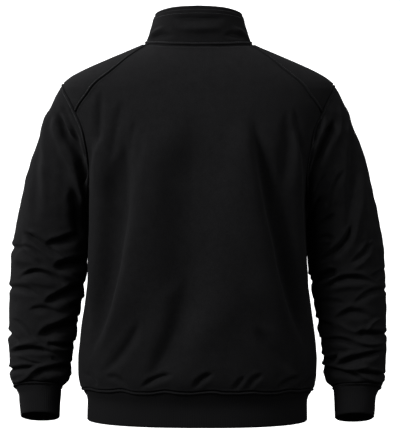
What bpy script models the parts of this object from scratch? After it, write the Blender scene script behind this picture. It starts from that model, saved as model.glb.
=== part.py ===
"""A quarter-zip fleece in a man's large, filled out as worn, with no wearer in it.

The tables are in millimetres and degrees, and the meshes in metres. +Z is up, the front
faces -Y and the wearer's left is +X. The origin is the middle of the neck opening, level
with the points where the shoulders meet the sides of the collar.

Each piece of cloth is a wall: a grid of points on its outer face, and the same grid moved
in by the cloth's thickness. Pieces that are sewn together share the points of their seam,
and each stops half a seam gap short of it.
"""

import math
from collections import namedtuple

import bmesh
import bpy
import numpy as np

MM = 0.001

# Cloth
CLOTH = 2.0  # brushed fleece
RIB = 3.0  # doubled rib of the hem and cuffs
FACING = 1.6  # inner collar
TAPE = 1.0  # woven zip tape
SEAM = 0.3  # between two pieces at a seam

# Body
BODY_SQUARENESS = 2.35  # 2 is an ellipse, and more is squarer
FOLDS_END = 30.0  # the body's folds fade out this far above the hem's seam
ARMPIT = -290.0
YOKE_CORNER = -132.0
YOKE_NECK_BACK = 24.0  # degrees round the neck, from the left side to the back
YOKE_NECK_FRONT = -30.0
HEM_SEAM_SIDE = -643.0
HEM_SEAM_RISE = 7.5  # the hem's seam is this much higher at the back than at the side
HEM_BOTTOM = -702.0

# Collar
NECK_HALF_WIDTH = 100.0
COLLAR_HALF_WIDTH = 84.0
COLLAR_BACK = 67.0
COLLAR_FRONT = 75.0
COLLAR_SQUARENESS = 2.2
COLLAR_LEAN = 0.8  # under 1, the collar springs in quickly above its seam
COLLAR_EASE = 25.0  # how soon the collar narrows beside the zip
FACING_STANDS = 6.8  # the inner collar stands this much above the outer one
FACING_GAP = 0.4  # between the inner and outer collars
FACING_SHORT = 0.15  # of the collar's lowest row, left open above the neck seam

# Zip
SLIT_HALF = 7.0
SLIT_BOTTOM_ROW = 10  # the armhole row level with the bottom of the slit
CHAIN_HALF = 2.5
CHAIN = 1.6
TAPE_INNER = CHAIN_HALF + SEAM
TAPE_OUTER = 14.0
TAPE_TAIL = 10.0  # the tape runs this far below the slit
TAPE_TOP = 0.97  # up the collar, from 0 to 1
SLIDER_AT = 0.9
STOP_HALF = 2.5
STOP_LENGTH = 3.5
STOP_THICK = 2.7

# The slider and its pull, from the chain's face at the slider's middle
PLATE = 1.2
PLATE_HALF = 4.5
SLIDER_TOP = 8.0
SLIDER_BOTTOM = -5.0
POST_HALF = 1.6
POST_BOTTOM = 1.5
BAIL_HALF = 1.0
BAIL_REACH = 2.2  # half the bail's opening along the zip
BAIL_RISE = 3.0  # the bail's opening above the plate
BAIL_WIRE = 1.2
PIVOT_UP = 0.5
PULL_THICK = 1.6
PULL_HALF = 3.5
PULL_HOLE_HALF = 1.5
PULL_HOLE_LENGTH = 5.5
PULL_NARROWS = 24.0
PULL_LENGTH = 30.0
OVERLAP = 0.5  # between the boxes that make the slider

# Fineness of the grids
PANEL_COLUMNS = 9  # from the side seam to the middle
LOWER_ROWS = 12  # from the hem to the armpit
YOKE_ACROSS = 4  # from the shoulder's top to the yoke's seam
SLEEVE_ROWS = 7  # from the armhole to the upper arm
FOREARM_ROWS = 21  # from the upper arm to the cuff
SLEEVE_PARTS = ("sleeve", "elbow", "forearm", "sleeve_end")  # solids, each of SLEEVE_ROWS rows
COLLAR_ROWS = 5
COLLAR_COLUMNS = 40
CUFF_ROWS = 3
HEM_ROWS = 3

Section = namedtuple("Section", "height half_width back front")
BODY = (
    Section(0, 100, 55, 40),
    Section(-8, 118, 62, 43),
    Section(-20, 146.5, 71, 49),
    Section(-40, 193.5, 84, 61),
    Section(-55, 224.7, 91.5, 68),
    Section(-65, 241.3, 95.5, 72),
    Section(-75, 252.4, 99.3, 75),
    Section(-88, 258, 103, 79),
    Section(-110, 255.5, 109, 87),
    Section(-135, 248, 116, 95),
    Section(-187, 233, 126, 109),
    Section(-242, 217, 131.5, 116.5),
    Section(-295, 204.5, 135, 122),
    Section(-340, 203, 136, 124),
    Section(-380, 203.5, 136, 124),
    Section(-435, 205.4, 135, 122),
    Section(-480, 210.8, 134.5, 121),
    Section(-525, 216.8, 134, 121),
    Section(-570, 222, 134, 122),
    Section(-592, 224, 134.5, 122.5),
    Section(-615, 223.4, 134, 122),
    Section(-637, 220, 130, 119),
    Section(-649, 214, 125, 114),
    Section(-660, 207.5, 120.5, 110),
    Section(-671, 206, 119, 109),
    Section(-702, 206.6, 119, 109),
)

# The neck seam, from the left side (0) to the middle of the back (90) or front (-90).
NeckPoint = namedtuple("NeckPoint", "around across height")
NECK = (
    NeckPoint(-90, 0, -88),
    NeckPoint(-70, 52, -71),
    NeckPoint(-50, 82, -41),
    NeckPoint(-30, 95, -13),
    NeckPoint(-12, 99.6, -3.4),
    NeckPoint(0, NECK_HALF_WIDTH, 0),
    NeckPoint(12, 98.5, -1.6),
    NeckPoint(24, 93, -3.6),
    NeckPoint(40, 76, -4.8),
    NeckPoint(60, 50, -6.7),
    NeckPoint(90, 0, -8),
)

CollarTop = namedtuple("CollarTop", "around height")
COLLAR_TOP = (
    CollarTop(-90, -8),
    CollarTop(-75, -3),
    CollarTop(-60, 8),
    CollarTop(-40, 24),
    CollarTop(-20, 39),
    CollarTop(0, 47.5),
    CollarTop(30, 52.5),
    CollarTop(60, 55.8),
    CollarTop(90, 57),
)

# The armhole, from the top of the shoulder to the armpit. Both ends are at the side.
ArmholePoint = namedtuple("ArmholePoint", "height back_across front_across")
ARMHOLE = (
    ArmholePoint(-75, 252.4, 252.4),
    ArmholePoint(-80.5, 250.5, 250),
    ArmholePoint(-95, 244.8, 242.5),
    ArmholePoint(-113, 234.6, 231.5),
    ArmholePoint(YOKE_CORNER, 225.5, 222),
    ArmholePoint(-156, 214.6, 210),
    ArmholePoint(-180, 208.2, 203.5),
    ArmholePoint(-204, 204.5, 200),
    ArmholePoint(-228, 202.7, 198.5),
    ArmholePoint(-252, 202, 199),
    ArmholePoint(-269, 202.4, 200.8),
    ArmholePoint(-282, 203.8, 203.2),
    ArmholePoint(ARMPIT, 205.6, 205.6),
)

# The yoke's seams, from the neck to the armhole.
SeamPoint = namedtuple("SeamPoint", "height across")
YOKE_BACK_SEAM = (
    SeamPoint(-3.6, 93),
    SeamPoint(-22.5, 120.8),
    SeamPoint(-42, 143.9),
    SeamPoint(-61.5, 167),
    SeamPoint(-80.5, 190),
    SeamPoint(-97, 202.5),
    SeamPoint(-113, 215),
    SeamPoint(YOKE_CORNER, 225.5),
)
YOKE_FRONT_SEAM = (
    SeamPoint(-13, 95),
    SeamPoint(-32, 118),
    SeamPoint(-50, 140),
    SeamPoint(-68, 161),
    SeamPoint(-85, 182),
    SeamPoint(-100, 199),
    SeamPoint(-115, 213),
    SeamPoint(YOKE_CORNER, 222),
)

# The sleeve below the shoulder. A tilted section is higher at the back than at the front.
Ring = namedtuple("Ring", "height outer inner middle half_depth tilt")
SLEEVE = (
    Ring(-335, 343, 203.5, -28, 71, 0),
    Ring(-390, 352.5, 204.5, -29, 70, 0),
    Ring(-435, 354, 209, -26, 69, 2),
    Ring(-480, 355.5, 212.5, -21, 67, 4),
    Ring(-514, 355.5, 219.5, -16, 65, 6),
    Ring(-540, 355.5, 225, -12, 63, 8),
    Ring(-575, 355, 231.5, -6, 60, 10),
    Ring(-604, 352.5, 235, 0, 57, 13),
    Ring(-628, 351, 239.5, 5, 53, 16),
    Ring(-641, 344.5, 255, 8, 45, 17),
)
CUFF = (
    Ring(-641, 344.5, 255, 8, 45, 17),
    Ring(-650, 338.5, 255.2, 10.5, 41.5, 18),
    Ring(-660, 334, 255.5, 13, 39, 18.5),
    Ring(-672, 332.7, 256.3, 15.5, 38.2, 19),
    Ring(-696, 330.2, 257, 20, 37, 20),
)
SLEEVE_SQUARENESS = 2.2
SLEEVE_GIRTH = 1.19  # mm for each degree round it, where its folds are laid out
FOLDS_START = 30.0  # the sleeve's folds start this far from the armhole
FOLDS_STOP = 20.0  # and end this far above the cuff

# How the sleeve's lengthwise lines leave the armhole and reach the upper arm. Each column
# is a side of the sleeve, and each direction is as long as the bend that it makes.
Bend = namedtuple("Bend", "around out back up")
LEAVES_ARMHOLE = (
    Bend(0, 143, 0, -217),
    Bend(45, 115, -15, -200),
    Bend(90, 50, -45, -150),
    Bend(135, 15, -20, -90),
    Bend(180, 2, 0, -45),
)
REACHES_ARM = (
    Bend(0, 52, 0, -256),
    Bend(45, 40, 0, -230),
    Bend(90, 15, 0, -150),
    Bend(135, 0, 0, -80),
    Bend(180, 1, 0, -45),
)

# The largest folds. A fold is a curve through three points. Its depth is out from the
# cloth, so a trough's is below 0.
BodyFold = namedtuple(
    "BodyFold", "across_1 height_1 across_2 height_2 across_3 height_3 depth width"
)
BACK_FOLDS = (
    BodyFold(108, -168, 139, -380, 228, -614, -7, 18),
    BodyFold(87, -161, 115, -380, 199, -611, 6, 24),
    BodyFold(-104, -179, -142, -353, -209, -571, -8, 18),
    BodyFold(-79, -191, -115, -362, -176, -554, 4, 26),
    BodyFold(38, -434, 45, -538, 88, -617, -7, 17),
    BodyFold(69, -628, 34, -571, 9, -506, 4, 18),
    BodyFold(180, -87, 186, -149, 186, -214, -5, 11),
    BodyFold(141, -114, 151, -182, 171, -258, -5, 12),
    BodyFold(-151, -146, -151, -200, -154, -258, -4, 11),
    BodyFold(85, -520, 130, -567, 182, -611, -5, 12),
    BodyFold(-109, -547, -138, -576, -169, -614, -5, 13),
)
FRONT_FOLDS = (
    BodyFold(120, -190, 135, -330, 190, -560, -6, 14),
    BodyFold(-105, -210, -130, -360, -195, -590, -6, 14),
    BodyFold(-60, -430, -68, -530, -100, -600, -4, 12),
    BodyFold(70, -500, 90, -560, 130, -600, -4, 12),
)

# Round the sleeve, 0 is the outer side, 90 the back, 180 the side by the body.
SleeveFold = namedtuple(
    "SleeveFold", "around_1 height_1 around_2 height_2 around_3 height_3 depth width"
)
LEFT_SLEEVE_FOLDS = (
    SleeveFold(67, -133, 96, -168, 164, -254, -9, 11),
    SleeveFold(42, -134, 89, -184, 153, -273, 3, 12),
    SleeveFold(38, -199, 61, -263, 73, -318, -4, 16),
    SleeveFold(40, -347, 86, -381, 135, -408, -8, 10),
    SleeveFold(93, -372, 134, -382, 185, -385, -7, 12),
    SleeveFold(-50, -383, 10, -378, 62, -383, -5, 10),
    SleeveFold(-60, -450, 25, -432, 121, -451, -10, 11),
    SleeveFold(107, -412, 130, -418, 190, -412, -8, 10),
    SleeveFold(97, -478, 123, -473, 175, -461, -6, 10),
    SleeveFold(110, -513, 150, -508, 220, -512, -8, 9),
    SleeveFold(-60, -540, 0, -534, 61, -552, -10, 9),
    SleeveFold(93, -537, 125, -545, 200, -541, -6, 11),
    SleeveFold(18, -578, 80, -567, 127, -571, -7, 8),
    SleeveFold(127, -571, 180, -575, 230, -570, -8, 8),
    SleeveFold(-60, -600, 10, -600, 85, -596, -10, 8),
    SleeveFold(76, -611, 120, -603, 190, -607, -5, 8),
    SleeveFold(300, -150, 262, -200, 205, -262, -7, 11),
    SleeveFold(310, -360, 275, -385, 225, -400, -7, 11),
    SleeveFold(300, -470, 260, -480, 215, -470, -5, 10),
    SleeveFold(320, -560, 270, -552, 220, -560, -6, 9),
)
RIGHT_SLEEVE_FOLDS = (
    SleeveFold(80, -130, 117, -176, 160, -235, -9, 11),
    SleeveFold(37, -143, 68, -245, 84, -331, -5, 14),
    SleeveFold(80, -318, 95, -370, 140, -406, -6, 12),
    SleeveFold(58, -291, 82, -375, 139, -421, 3, 11),
    SleeveFold(137, -289, 154, -312, 185, -340, -6, 11),
    SleeveFold(117, -364, 135, -378, 190, -397, -7, 10),
    SleeveFold(-40, -372, 40, -378, 98, -414, -5, 10),
    SleeveFold(112, -420, 138, -435, 190, -457, -9, 10),
    SleeveFold(-60, -446, 25, -434, 140, -461, -9, 11),
    SleeveFold(119, -504, 93, -491, 62, -502, -5, 11),
    SleeveFold(-60, -540, 0, -533, 89, -537, -10, 9),
    SleeveFold(215, -512, 175, -516, 136, -533, -8, 9),
    SleeveFold(174, -560, 123, -551, 86, -559, -5, 9),
    SleeveFold(225, -578, 180, -579, 130, -577, -8, 8),
    SleeveFold(125, -593, 85, -577, -20, -570, -6, 8),
    SleeveFold(190, -605, 120, -604, 78, -616, -6, 8),
    SleeveFold(88, -602, 20, -602, -60, -600, -9, 8),
    SleeveFold(295, -160, 258, -210, 205, -268, -7, 11),
    SleeveFold(305, -375, 270, -392, 220, -398, -7, 11),
    SleeveFold(315, -485, 265, -470, 215, -478, -5, 10),
)

CLOTH_COLOUR = (0.0125, 0.0125, 0.0135)
RIB_COLOUR = (0.014, 0.014, 0.015)
TAPE_COLOUR = (0.010, 0.010, 0.011)
COIL_COLOUR = (0.008, 0.008, 0.008)
METAL_COLOUR = (0.03, 0.03, 0.032)


def read(table, column, at, by="height"):
    """A column of a table, on a smooth curve through its rows that never overshoots them."""
    rows = sorted(table, key=lambda row: getattr(row, by))
    x = np.array([getattr(row, by) for row in rows], float)
    y = np.array([getattr(row, column) for row in rows], float)
    at = np.clip(np.asarray(at, float), x[0], x[-1])
    step = np.diff(x)
    slope = np.diff(y) / step
    tangent = np.concatenate([slope[:1], np.zeros(len(x) - 2), slope[-1:]])
    for i in range(1, len(x) - 1):
        if slope[i - 1] * slope[i] > 0:
            before = 2 * step[i] + step[i - 1]
            after = step[i] + 2 * step[i - 1]
            tangent[i] = (before + after) / (before / slope[i - 1] + after / slope[i])
    i = np.clip(np.searchsorted(x, at) - 1, 0, len(x) - 2)
    t = (at - x[i]) / step[i]
    value = y[i] * (1 + 2 * t) * (1 - t) ** 2 + y[i + 1] * (3 - 2 * t) * t**2
    bend = tangent[i] * t * (1 - t) ** 2 - tangent[i + 1] * (1 - t) * t**2
    return value + bend * step[i]


def unit(vectors):
    """The same directions, each of length 1."""
    return vectors / np.maximum(np.linalg.norm(vectors, axis=-1, keepdims=True), 1e-9)


def roundness(angle, squareness):
    """How far a rounded square reaches at an angle, where 1 is its half width."""
    sides = np.abs(np.cos(angle)) ** squareness + np.abs(np.sin(angle)) ** squareness
    return sides ** (-1 / squareness)


def fold_depth(folds, first, second):
    """What the folds add at points given by two coordinates in mm."""
    total = np.zeros(np.shape(first))
    t = np.linspace(0, 1, 9)
    for fold in folds:
        a, b, c = (np.array(fold[i : i + 2], float) for i in (0, 2, 4))
        control = 2 * b - (a + c) / 2
        line = [(1 - s) ** 2 * a + 2 * s * (1 - s) * control + s * s * c for s in t]
        nearest = np.full(np.shape(first), np.inf)
        along = np.zeros(np.shape(first))
        for i in range(len(t) - 1):
            start, run = line[i], line[i + 1] - line[i]
            part = ((first - start[0]) * run[0] + (second - start[1]) * run[1]) / (run @ run)
            part = np.clip(part, 0, 1)
            away = np.hypot(first - start[0] - part * run[0], second - start[1] - part * run[1])
            along = np.where(away < nearest, (i + part) / (len(t) - 1), along)
            nearest = np.minimum(nearest, away)
        fade = np.sqrt(np.clip(4 * along * (1 - along), 0, 1))
        total += fold.depth * fade * np.exp(-((nearest / fold.width) ** 2))
    return total


# The body's surface. An angle of 0 is the left side, 90 the back and -90 the front.


def side_angle(across, height, front=False):
    """The angle of the point on the body's left half that is this far across."""
    c = np.clip(across / read(BODY, "half_width", height), 0, 1)
    s = (1 - c**BODY_SQUARENESS) ** (1 / BODY_SQUARENESS)
    return np.arctan2(-s if front else s, c)


def smooth_body(angle, height):
    """A point of the body with no folds."""
    reach = roundness(angle, BODY_SQUARENESS)
    back, front = read(BODY, "back", height), read(BODY, "front", height)
    depth = np.where(np.sin(angle) > 0, back, front)
    x = read(BODY, "half_width", height) * reach * np.cos(angle)
    y = depth * reach * np.sin(angle)
    return np.stack(np.broadcast_arrays(x, y, height), axis=-1)


def facing_out(surface, angle, height):
    """The outward direction of a surface that an angle and a height give."""
    turn, rise = 0.01, 1.0
    round_it = surface(angle + turn, height) - surface(angle - turn, height)
    up_it = surface(angle, np.minimum(height + rise, 0)) - surface(angle, height - rise)
    return unit(np.cross(round_it, up_it))


def body(angle, height):
    """A point of the body's outer face, folds included."""
    angle, height = np.broadcast_arrays(np.asarray(angle, float), np.asarray(height, float))
    point = smooth_body(angle, height)
    across = point[..., 0]
    is_back = np.clip(np.sin(angle) * 4, 0, 1)
    is_front = np.clip(-np.sin(angle) * 4, 0, 1)
    depth = is_back * fold_depth(BACK_FOLDS, across, height)
    depth += is_front * fold_depth(FRONT_FOLDS, across, height)
    depth *= np.clip((height - HEM_SEAM_SIDE) / FOLDS_END, 0, 1)
    return point + depth[..., None] * facing_out(smooth_body, angle, height)


def body_out(angle, height):
    """The outward direction of the body, folds included."""
    return facing_out(body, angle, height)


def hem_seam(angle):
    """The height of the seam between the body and the hem band."""
    return HEM_SEAM_SIDE + HEM_SEAM_RISE * np.sin(angle) ** 2


def neck(around):
    """The angle and height of the neck seam, from the left side to the back or front."""
    height = read(NECK, "height", around, by="around")
    across = read(NECK, "across", around, by="around")
    front, back = side_angle(across, height, True), side_angle(across, height)
    return np.where(around < 0, front, back), height


def neck_around(across):
    """Where the front half of the neck seam is this far from the middle."""
    around = np.linspace(-90, 0, 400)
    return np.interp(across, read(NECK, "across", around, by="around"), around)


def armhole(row, front):
    """The angle and height of one of the armhole's points."""
    point = ARMHOLE[row]
    if row in (0, len(ARMHOLE) - 1):
        return 0.0, point.height
    across = point.front_across if front else point.back_across
    return float(side_angle(across, point.height, front)), point.height


def yoke_seam(front):
    """The angles and heights of a yoke's seam, from the armhole to the neck."""
    table = YOKE_FRONT_SEAM if front else YOKE_BACK_SEAM
    return np.array([(side_angle(p.across, p.height, front), p.height) for p in reversed(table)])


def between_edges(low, high, start, end):
    """A grid that fills four edges: rows from low to high, columns from start to end."""
    v = np.linspace(0, 1, len(start))[:, None, None]
    u = np.linspace(0, 1, len(low))[None, :, None]
    across = (1 - u) * start[:, None] + u * end[:, None]
    along = (1 - v) * low[None] + v * high[None]
    corners = (1 - v) * ((1 - u) * low[0] + u * low[-1]) + v * ((1 - u) * high[0] + u * high[-1])
    return across + along - corners


def half_panel(front):
    """Angles and heights of half a panel: rows from hem to neck, columns from side to middle."""
    share = np.linspace(0, 1, PANEL_COLUMNS + 1)

    def row(start, height):
        middle = side_angle(SLIT_HALF, height, True) if front else math.pi / 2
        angle = middle * share + start * (1 - share) ** 2
        return np.stack([angle, np.full(len(share), float(height))], axis=-1)

    rows = []
    for t in np.arange(LOWER_ROWS) / LOWER_ROWS:
        line = row(0.0, HEM_SEAM_SIDE + (ARMPIT - HEM_SEAM_SIDE) * t)
        line[:, 1] = hem_seam(line[:, 0]) * (1 - t) + ARMPIT * t
        rows.append(line)
    for k in range(len(ARMHOLE) - 1, YOKE_ACROSS - 1, -1):
        rows.append(row(*armhole(k, front)))
    around = np.linspace(YOKE_NECK_BACK, 90, len(share))
    if front:
        around = np.linspace(YOKE_NECK_FRONT, neck_around(SLIT_HALF), len(share))
    top = np.stack(neck(around), axis=-1)
    seam = yoke_seam(front)
    heights = np.linspace(YOKE_CORNER, top[-1, 1], len(seam))
    middle = side_angle(SLIT_HALF, heights, True) if front else np.full(len(seam), math.pi / 2)
    upper = between_edges(rows[-1], top, seam, np.stack([middle, heights], axis=-1))
    return np.concatenate([np.array(rows), upper[1:]])


def other_side(grid):
    """The same grid on the wearer's right, with its columns the other way round."""
    flipped = grid[:, ::-1].copy()
    flipped[..., 0] = math.pi - flipped[..., 0]
    return flipped


def pull_back(points, rows=(), columns=(), gap=SEAM / 2):
    """Moves the named edges of a grid into it, square to each edge, by half a seam."""
    points = points.copy()
    moves = np.zeros_like(points)
    for axis, edges in ((0, rows), (1, columns)):
        for edge in edges:
            line = np.take(points, edge, axis=axis)
            inside = np.take(points, 1 if edge == 0 else -2, axis=axis) - line
            along = unit(np.gradient(line, axis=0))
            inside -= (inside * along).sum(-1, keepdims=True) * along
            if axis == 0:
                moves[edge] += gap * unit(inside)
            else:
                moves[:, edge] += gap * unit(inside)
    return points + moves


def grid_out(points, closed, sign=1.0):
    """The outward direction at each point of a grid of rows that run round a tube."""
    if closed:
        round_it = np.roll(points, -1, axis=1) - np.roll(points, 1, axis=1)
    else:
        round_it = np.gradient(points, axis=1)
    return sign * unit(np.cross(round_it, np.gradient(points, axis=0)))


# Meshes


def finish(name, colour, roughness, metallic=0.0):
    """A plain material."""
    material = bpy.data.materials.new(name)
    material.use_nodes = True
    shader = material.node_tree.nodes["Principled BSDF"]
    shader.inputs["Base Color"].default_value = (*colour, 1)
    shader.inputs["Roughness"].default_value = roughness
    shader.inputs["Metallic"].default_value = metallic
    return material


def put(name, bm, material, at=(0, 0, 0)):
    """Makes an object of a bmesh in millimetres, with its origin at a point in millimetres."""
    bmesh.ops.recalc_face_normals(bm, faces=bm.faces)
    for vertex in bm.verts:
        vertex.co = (vertex.co - type(vertex.co)(at)) * MM
    mesh = bpy.data.meshes.new(name)
    bm.to_mesh(mesh)
    bm.free()
    mesh.shade_smooth()
    mesh.materials.append(material)
    thing = bpy.data.objects.new(name, mesh)
    thing.location = [MM * c for c in at]
    bpy.context.collection.objects.link(thing)
    return thing


def wall(name, outer, inner, material, closed=False, missing=(), at=(0, 0, 0)):
    """A closed wall between two grids, with no cells where the set of missing ones says so."""
    rows, columns = outer.shape[:2]
    bm = bmesh.new()
    faces = [[[bm.verts.new(p) for p in line] for line in grid] for grid in (outer, inner)]
    last = columns if closed else columns - 1
    cells = {(r, c) for r in range(rows - 1) for c in range(last)} - set(missing)
    for r, c in cells:
        right = (c + 1) % columns if closed else c + 1
        left = (c - 1) % columns if closed else c - 1
        corners = ((r, c), (r, right), (r + 1, right), (r + 1, c))
        beside = ((r - 1, c), (r, right), (r + 1, c), (r, left))
        for grid in faces:
            bm.faces.new([grid[i][j] for i, j in corners])
        for i in range(4):
            if beside[i] not in cells:
                (a, b), (d, e) = corners[i], corners[(i + 1) % 4]
                bm.faces.new([faces[0][a][b], faces[0][d][e], faces[1][d][e], faces[1][a][b]])
    bmesh.ops.delete(bm, geom=[v for v in bm.verts if not v.link_faces], context="VERTS")
    return put(name, bm, material, at)


def cloth(name, points, out, thickness, material, **options):
    """A wall of cloth, from the points of its outer face."""
    return wall(name, points, points - thickness * out, material, **options)


# Pieces


def back_panel(material):
    """The back, from side seam to side seam and from the hem's seam to the neck."""
    half = half_panel(front=False)
    grid = np.concatenate([half, other_side(half)[:, 1:]], axis=1)
    points = pull_back(body(grid[..., 0], grid[..., 1]), rows=(0, -1), columns=(0, -1))
    cloth("back_panel", points, body_out(grid[..., 0], grid[..., 1]), CLOTH, material)
    return grid[0, :, 0]


def front_panel(material):
    """The front, with the slit that the zip fills."""
    half = half_panel(front=True)
    grid = np.concatenate([half, other_side(half)], axis=1)
    slit_row = LOWER_ROWS + len(ARMHOLE) - 1 - SLIT_BOTTOM_ROW
    middle = PANEL_COLUMNS
    slit = {(r, middle) for r in range(slit_row, len(grid) - 1)}
    points = pull_back(body(grid[..., 0], grid[..., 1]), rows=(0, -1), columns=(0, -1))
    out = body_out(grid[..., 0], grid[..., 1])
    cloth("front_panel", points, out, CLOTH, material, missing=slit)
    return grid[0, :, 0]


def shoulder_yoke(side, material):
    """The piece over one shoulder, from the neck to the armhole."""
    back, front = yoke_seam(False)[::-1], yoke_seam(True)[::-1]
    neck_back = np.linspace(YOKE_NECK_BACK, 0, YOKE_ACROSS + 1)
    neck_front = np.linspace(0, YOKE_NECK_FRONT, YOKE_ACROSS + 1)[1:]
    neck_edge = np.stack(neck(np.concatenate([neck_back, neck_front])), axis=-1)
    arm_back = [armhole(k, False) for k in range(YOKE_ACROSS, -1, -1)]
    arm_front = [armhole(k, True) for k in range(1, YOKE_ACROSS + 1)]
    grid = between_edges(neck_edge, np.array(arm_back + arm_front), back, front)
    if side < 0:
        grid = other_side(grid)
    points = pull_back(body(grid[..., 0], grid[..., 1]), rows=(0, -1), columns=(0, -1))
    out = body_out(grid[..., 0], grid[..., 1])
    cloth("shoulder_yoke_" + ("left" if side > 0 else "right"), points, out, CLOTH, material)


def hem_band(back_angles, front_angles, material):
    """The rib band round the hem."""
    angle = np.concatenate([back_angles, front_angles[::-1][1:-1]])
    t = np.linspace(0, 1, HEM_ROWS + 1)[:, None]
    height = (hem_seam(angle) - SEAM / 2) * (1 - t) + HEM_BOTTOM * t
    angle = np.broadcast_to(angle, height.shape)
    cloth("hem_band", body(angle, height), body_out(angle, height), RIB, material, closed=True)


def ring_points(table, heights, around, side):
    """Points of the sleeve's or cuff's sections, one row of them for each height."""
    outer = read(table, "outer", heights)[:, None]
    inner = read(table, "inner", heights)[:, None]
    middle = read(table, "middle", heights)[:, None]
    reach = roundness(around, SLEEVE_SQUARENESS)
    x = (outer + inner) / 2 + (outer - inner) / 2 * reach * np.cos(around)
    y = middle + read(table, "half_depth", heights)[:, None] * reach * np.sin(around)
    z = heights[:, None] + (y - middle) * np.tan(np.radians(read(table, "tilt", heights)))[:, None]
    return np.stack([side * x, y, z], axis=-1)


def armhole_ring(side):
    """The armhole's points and the body's outward direction there, once round."""
    last = len(ARMHOLE) - 1
    ends = [armhole(k, False) for k in range(last + 1)]
    ends += [armhole(k, True) for k in range(last - 1, 0, -1)]
    angle, height = np.array(ends).T
    if side < 0:
        angle = math.pi - angle
    return body(angle, height), body_out(angle, height)


def bend(table, around, side):
    """The directions in a table of bends, for each angle round the sleeve."""
    turn = np.degrees(around)
    turn, sign = np.where(turn > 180, 360 - turn, turn), np.where(turn > 180, -1.0, 1.0)
    out, back, up = (read(table, column, turn, by="around") for column in ("out", "back", "up"))
    return np.stack([side * out, sign * back, up], axis=-1)


def sleeve_points(side):
    """The sleeve's outer face and its outward direction, from the armhole to the cuff's seam."""
    start, body_side = armhole_ring(side)
    around = np.arange(len(start)) * 2 * math.pi / len(start)
    heights = np.linspace(SLEEVE[0].height, SLEEVE[-1].height, FOREARM_ROWS + 1)
    lower = ring_points(SLEEVE, heights, around, side)
    leave, reach = bend(LEAVES_ARMHOLE, around, side), bend(REACHES_ARM, around, side)
    upper = []
    for t in np.arange(SLEEVE_ROWS) / SLEEVE_ROWS:
        from_start = (1 + 2 * t) * (1 - t) ** 2 * start + t * (1 - t) ** 2 * leave
        upper.append(from_start + (3 - 2 * t) * t**2 * lower[0] - (1 - t) * t**2 * reach)
    points = np.concatenate([np.array(upper), lower])
    folds = LEFT_SLEEVE_FOLDS if side > 0 else RIGHT_SLEEVE_FOLDS
    from_armhole = np.linalg.norm(points - start, axis=-1)
    above_cuff = points[..., 2] - SLEEVE[-1].height
    fade = np.clip(from_armhole / FOLDS_START, 0, 1) * np.clip(above_cuff / FOLDS_STOP, 0, 1)
    fade[-1] = 0
    depth = np.zeros(points.shape[:2])
    for fold in folds:
        turn = (np.degrees(around) - fold.around_2 + 180) % 360 - 180 + fold.around_2
        flat = fold._replace(
            around_1=fold.around_1 * SLEEVE_GIRTH,
            around_2=fold.around_2 * SLEEVE_GIRTH,
            around_3=fold.around_3 * SLEEVE_GIRTH,
        )
        along = np.broadcast_to(turn * SLEEVE_GIRTH, depth.shape)
        depth += fold_depth([flat], along, points[..., 2])
    points = points + (fade * depth)[..., None] * grid_out(points, True, -side)
    out = grid_out(points, True, -side)
    agree = np.clip((out[0] * body_side).sum(-1, keepdims=True) * 2, 0, 1)
    out[0] = unit(out[0] * (1 - agree / 2) + body_side * agree / 2)
    return points, out


def sleeve_and_cuff(side, fleece, rib):
    """One sleeve and the rib cuff that it is gathered to."""
    name = "left" if side > 0 else "right"
    points, out = sleeve_points(side)
    around = np.arange(points.shape[1]) * 2 * math.pi / points.shape[1]
    heights = np.linspace(CUFF[0].height, CUFF[-1].height, CUFF_ROWS + 1)
    cuff = ring_points(CUFF, heights, around, side)
    cuff_out = grid_out(cuff, True, -side)
    seam_out = unit(out[-1] + cuff_out[0])
    out[-1] = seam_out
    cuff_out[0] = seam_out
    for i, part in enumerate(SLEEVE_PARTS):
        rows = slice(i * SLEEVE_ROWS, (i + 1) * SLEEVE_ROWS + 1)
        edged = pull_back(points[rows], rows=(0, -1))
        cloth(f"{part}_{name}", edged, out[rows], CLOTH, fleece, closed=True)
    cloth("cuff_" + name, pull_back(cuff, rows=(0,)), cuff_out, RIB, rib, closed=True)


def collar_surface(around, up):
    """A point of the outer collar, where up is 0 at the neck seam and 1 at the top."""
    half = np.where(around > 90, 180 - around, around)
    half = np.where(half < -90, -180 - half, half)
    side = np.where((around > 90) | (around < -90), -1.0, 1.0)
    base = body(*neck(half))
    across = base[..., 0]
    depth = np.where(half < 0, COLLAR_FRONT, COLLAR_BACK)
    base_depth = np.where(half < 0, -body(*neck(-90.0))[1], body(*neck(90.0))[1])
    turn = np.arctan2(base[..., 1] / base_depth, across / NECK_HALF_WIDTH)
    reach = roundness(turn, COLLAR_SQUARENESS)
    beside_zip = np.exp(-np.clip(across - SLIT_HALF, 0, None) / COLLAR_EASE)
    ease = 1 + np.where(half < 0, beside_zip, 0) * (NECK_HALF_WIDTH / COLLAR_HALF_WIDTH - 1)
    top_x = COLLAR_HALF_WIDTH * ease * reach * np.cos(turn)
    top_y = depth * reach * np.sin(turn)
    top_z = read(COLLAR_TOP, "height", half, by="around")
    lean = np.power(up, COLLAR_LEAN)
    x = across + (top_x - across) * lean
    y = base[..., 1] + (top_y - base[..., 1]) * lean
    z = base[..., 2] + (top_z - base[..., 2]) * up
    return np.stack([side * x, y, z], axis=-1)


def collar_grid():
    """The outer collar's points and directions, open at the front for the zip."""
    start, beside = neck_around(np.array([SLIT_HALF, TAPE_OUTER + 1]))
    around = np.linspace(beside, 180 - beside, COLLAR_COLUMNS - 1)
    around = np.concatenate([[start], around, [180 - start]])
    up = np.linspace(0, 1, COLLAR_ROWS + 1)
    up, around = np.meshgrid(up, around, indexing="ij")
    points = collar_surface(around, up)
    out = grid_out(points, False)
    points = points - SEAM * out
    points[0, :, 2] += SEAM
    return points, out


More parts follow.
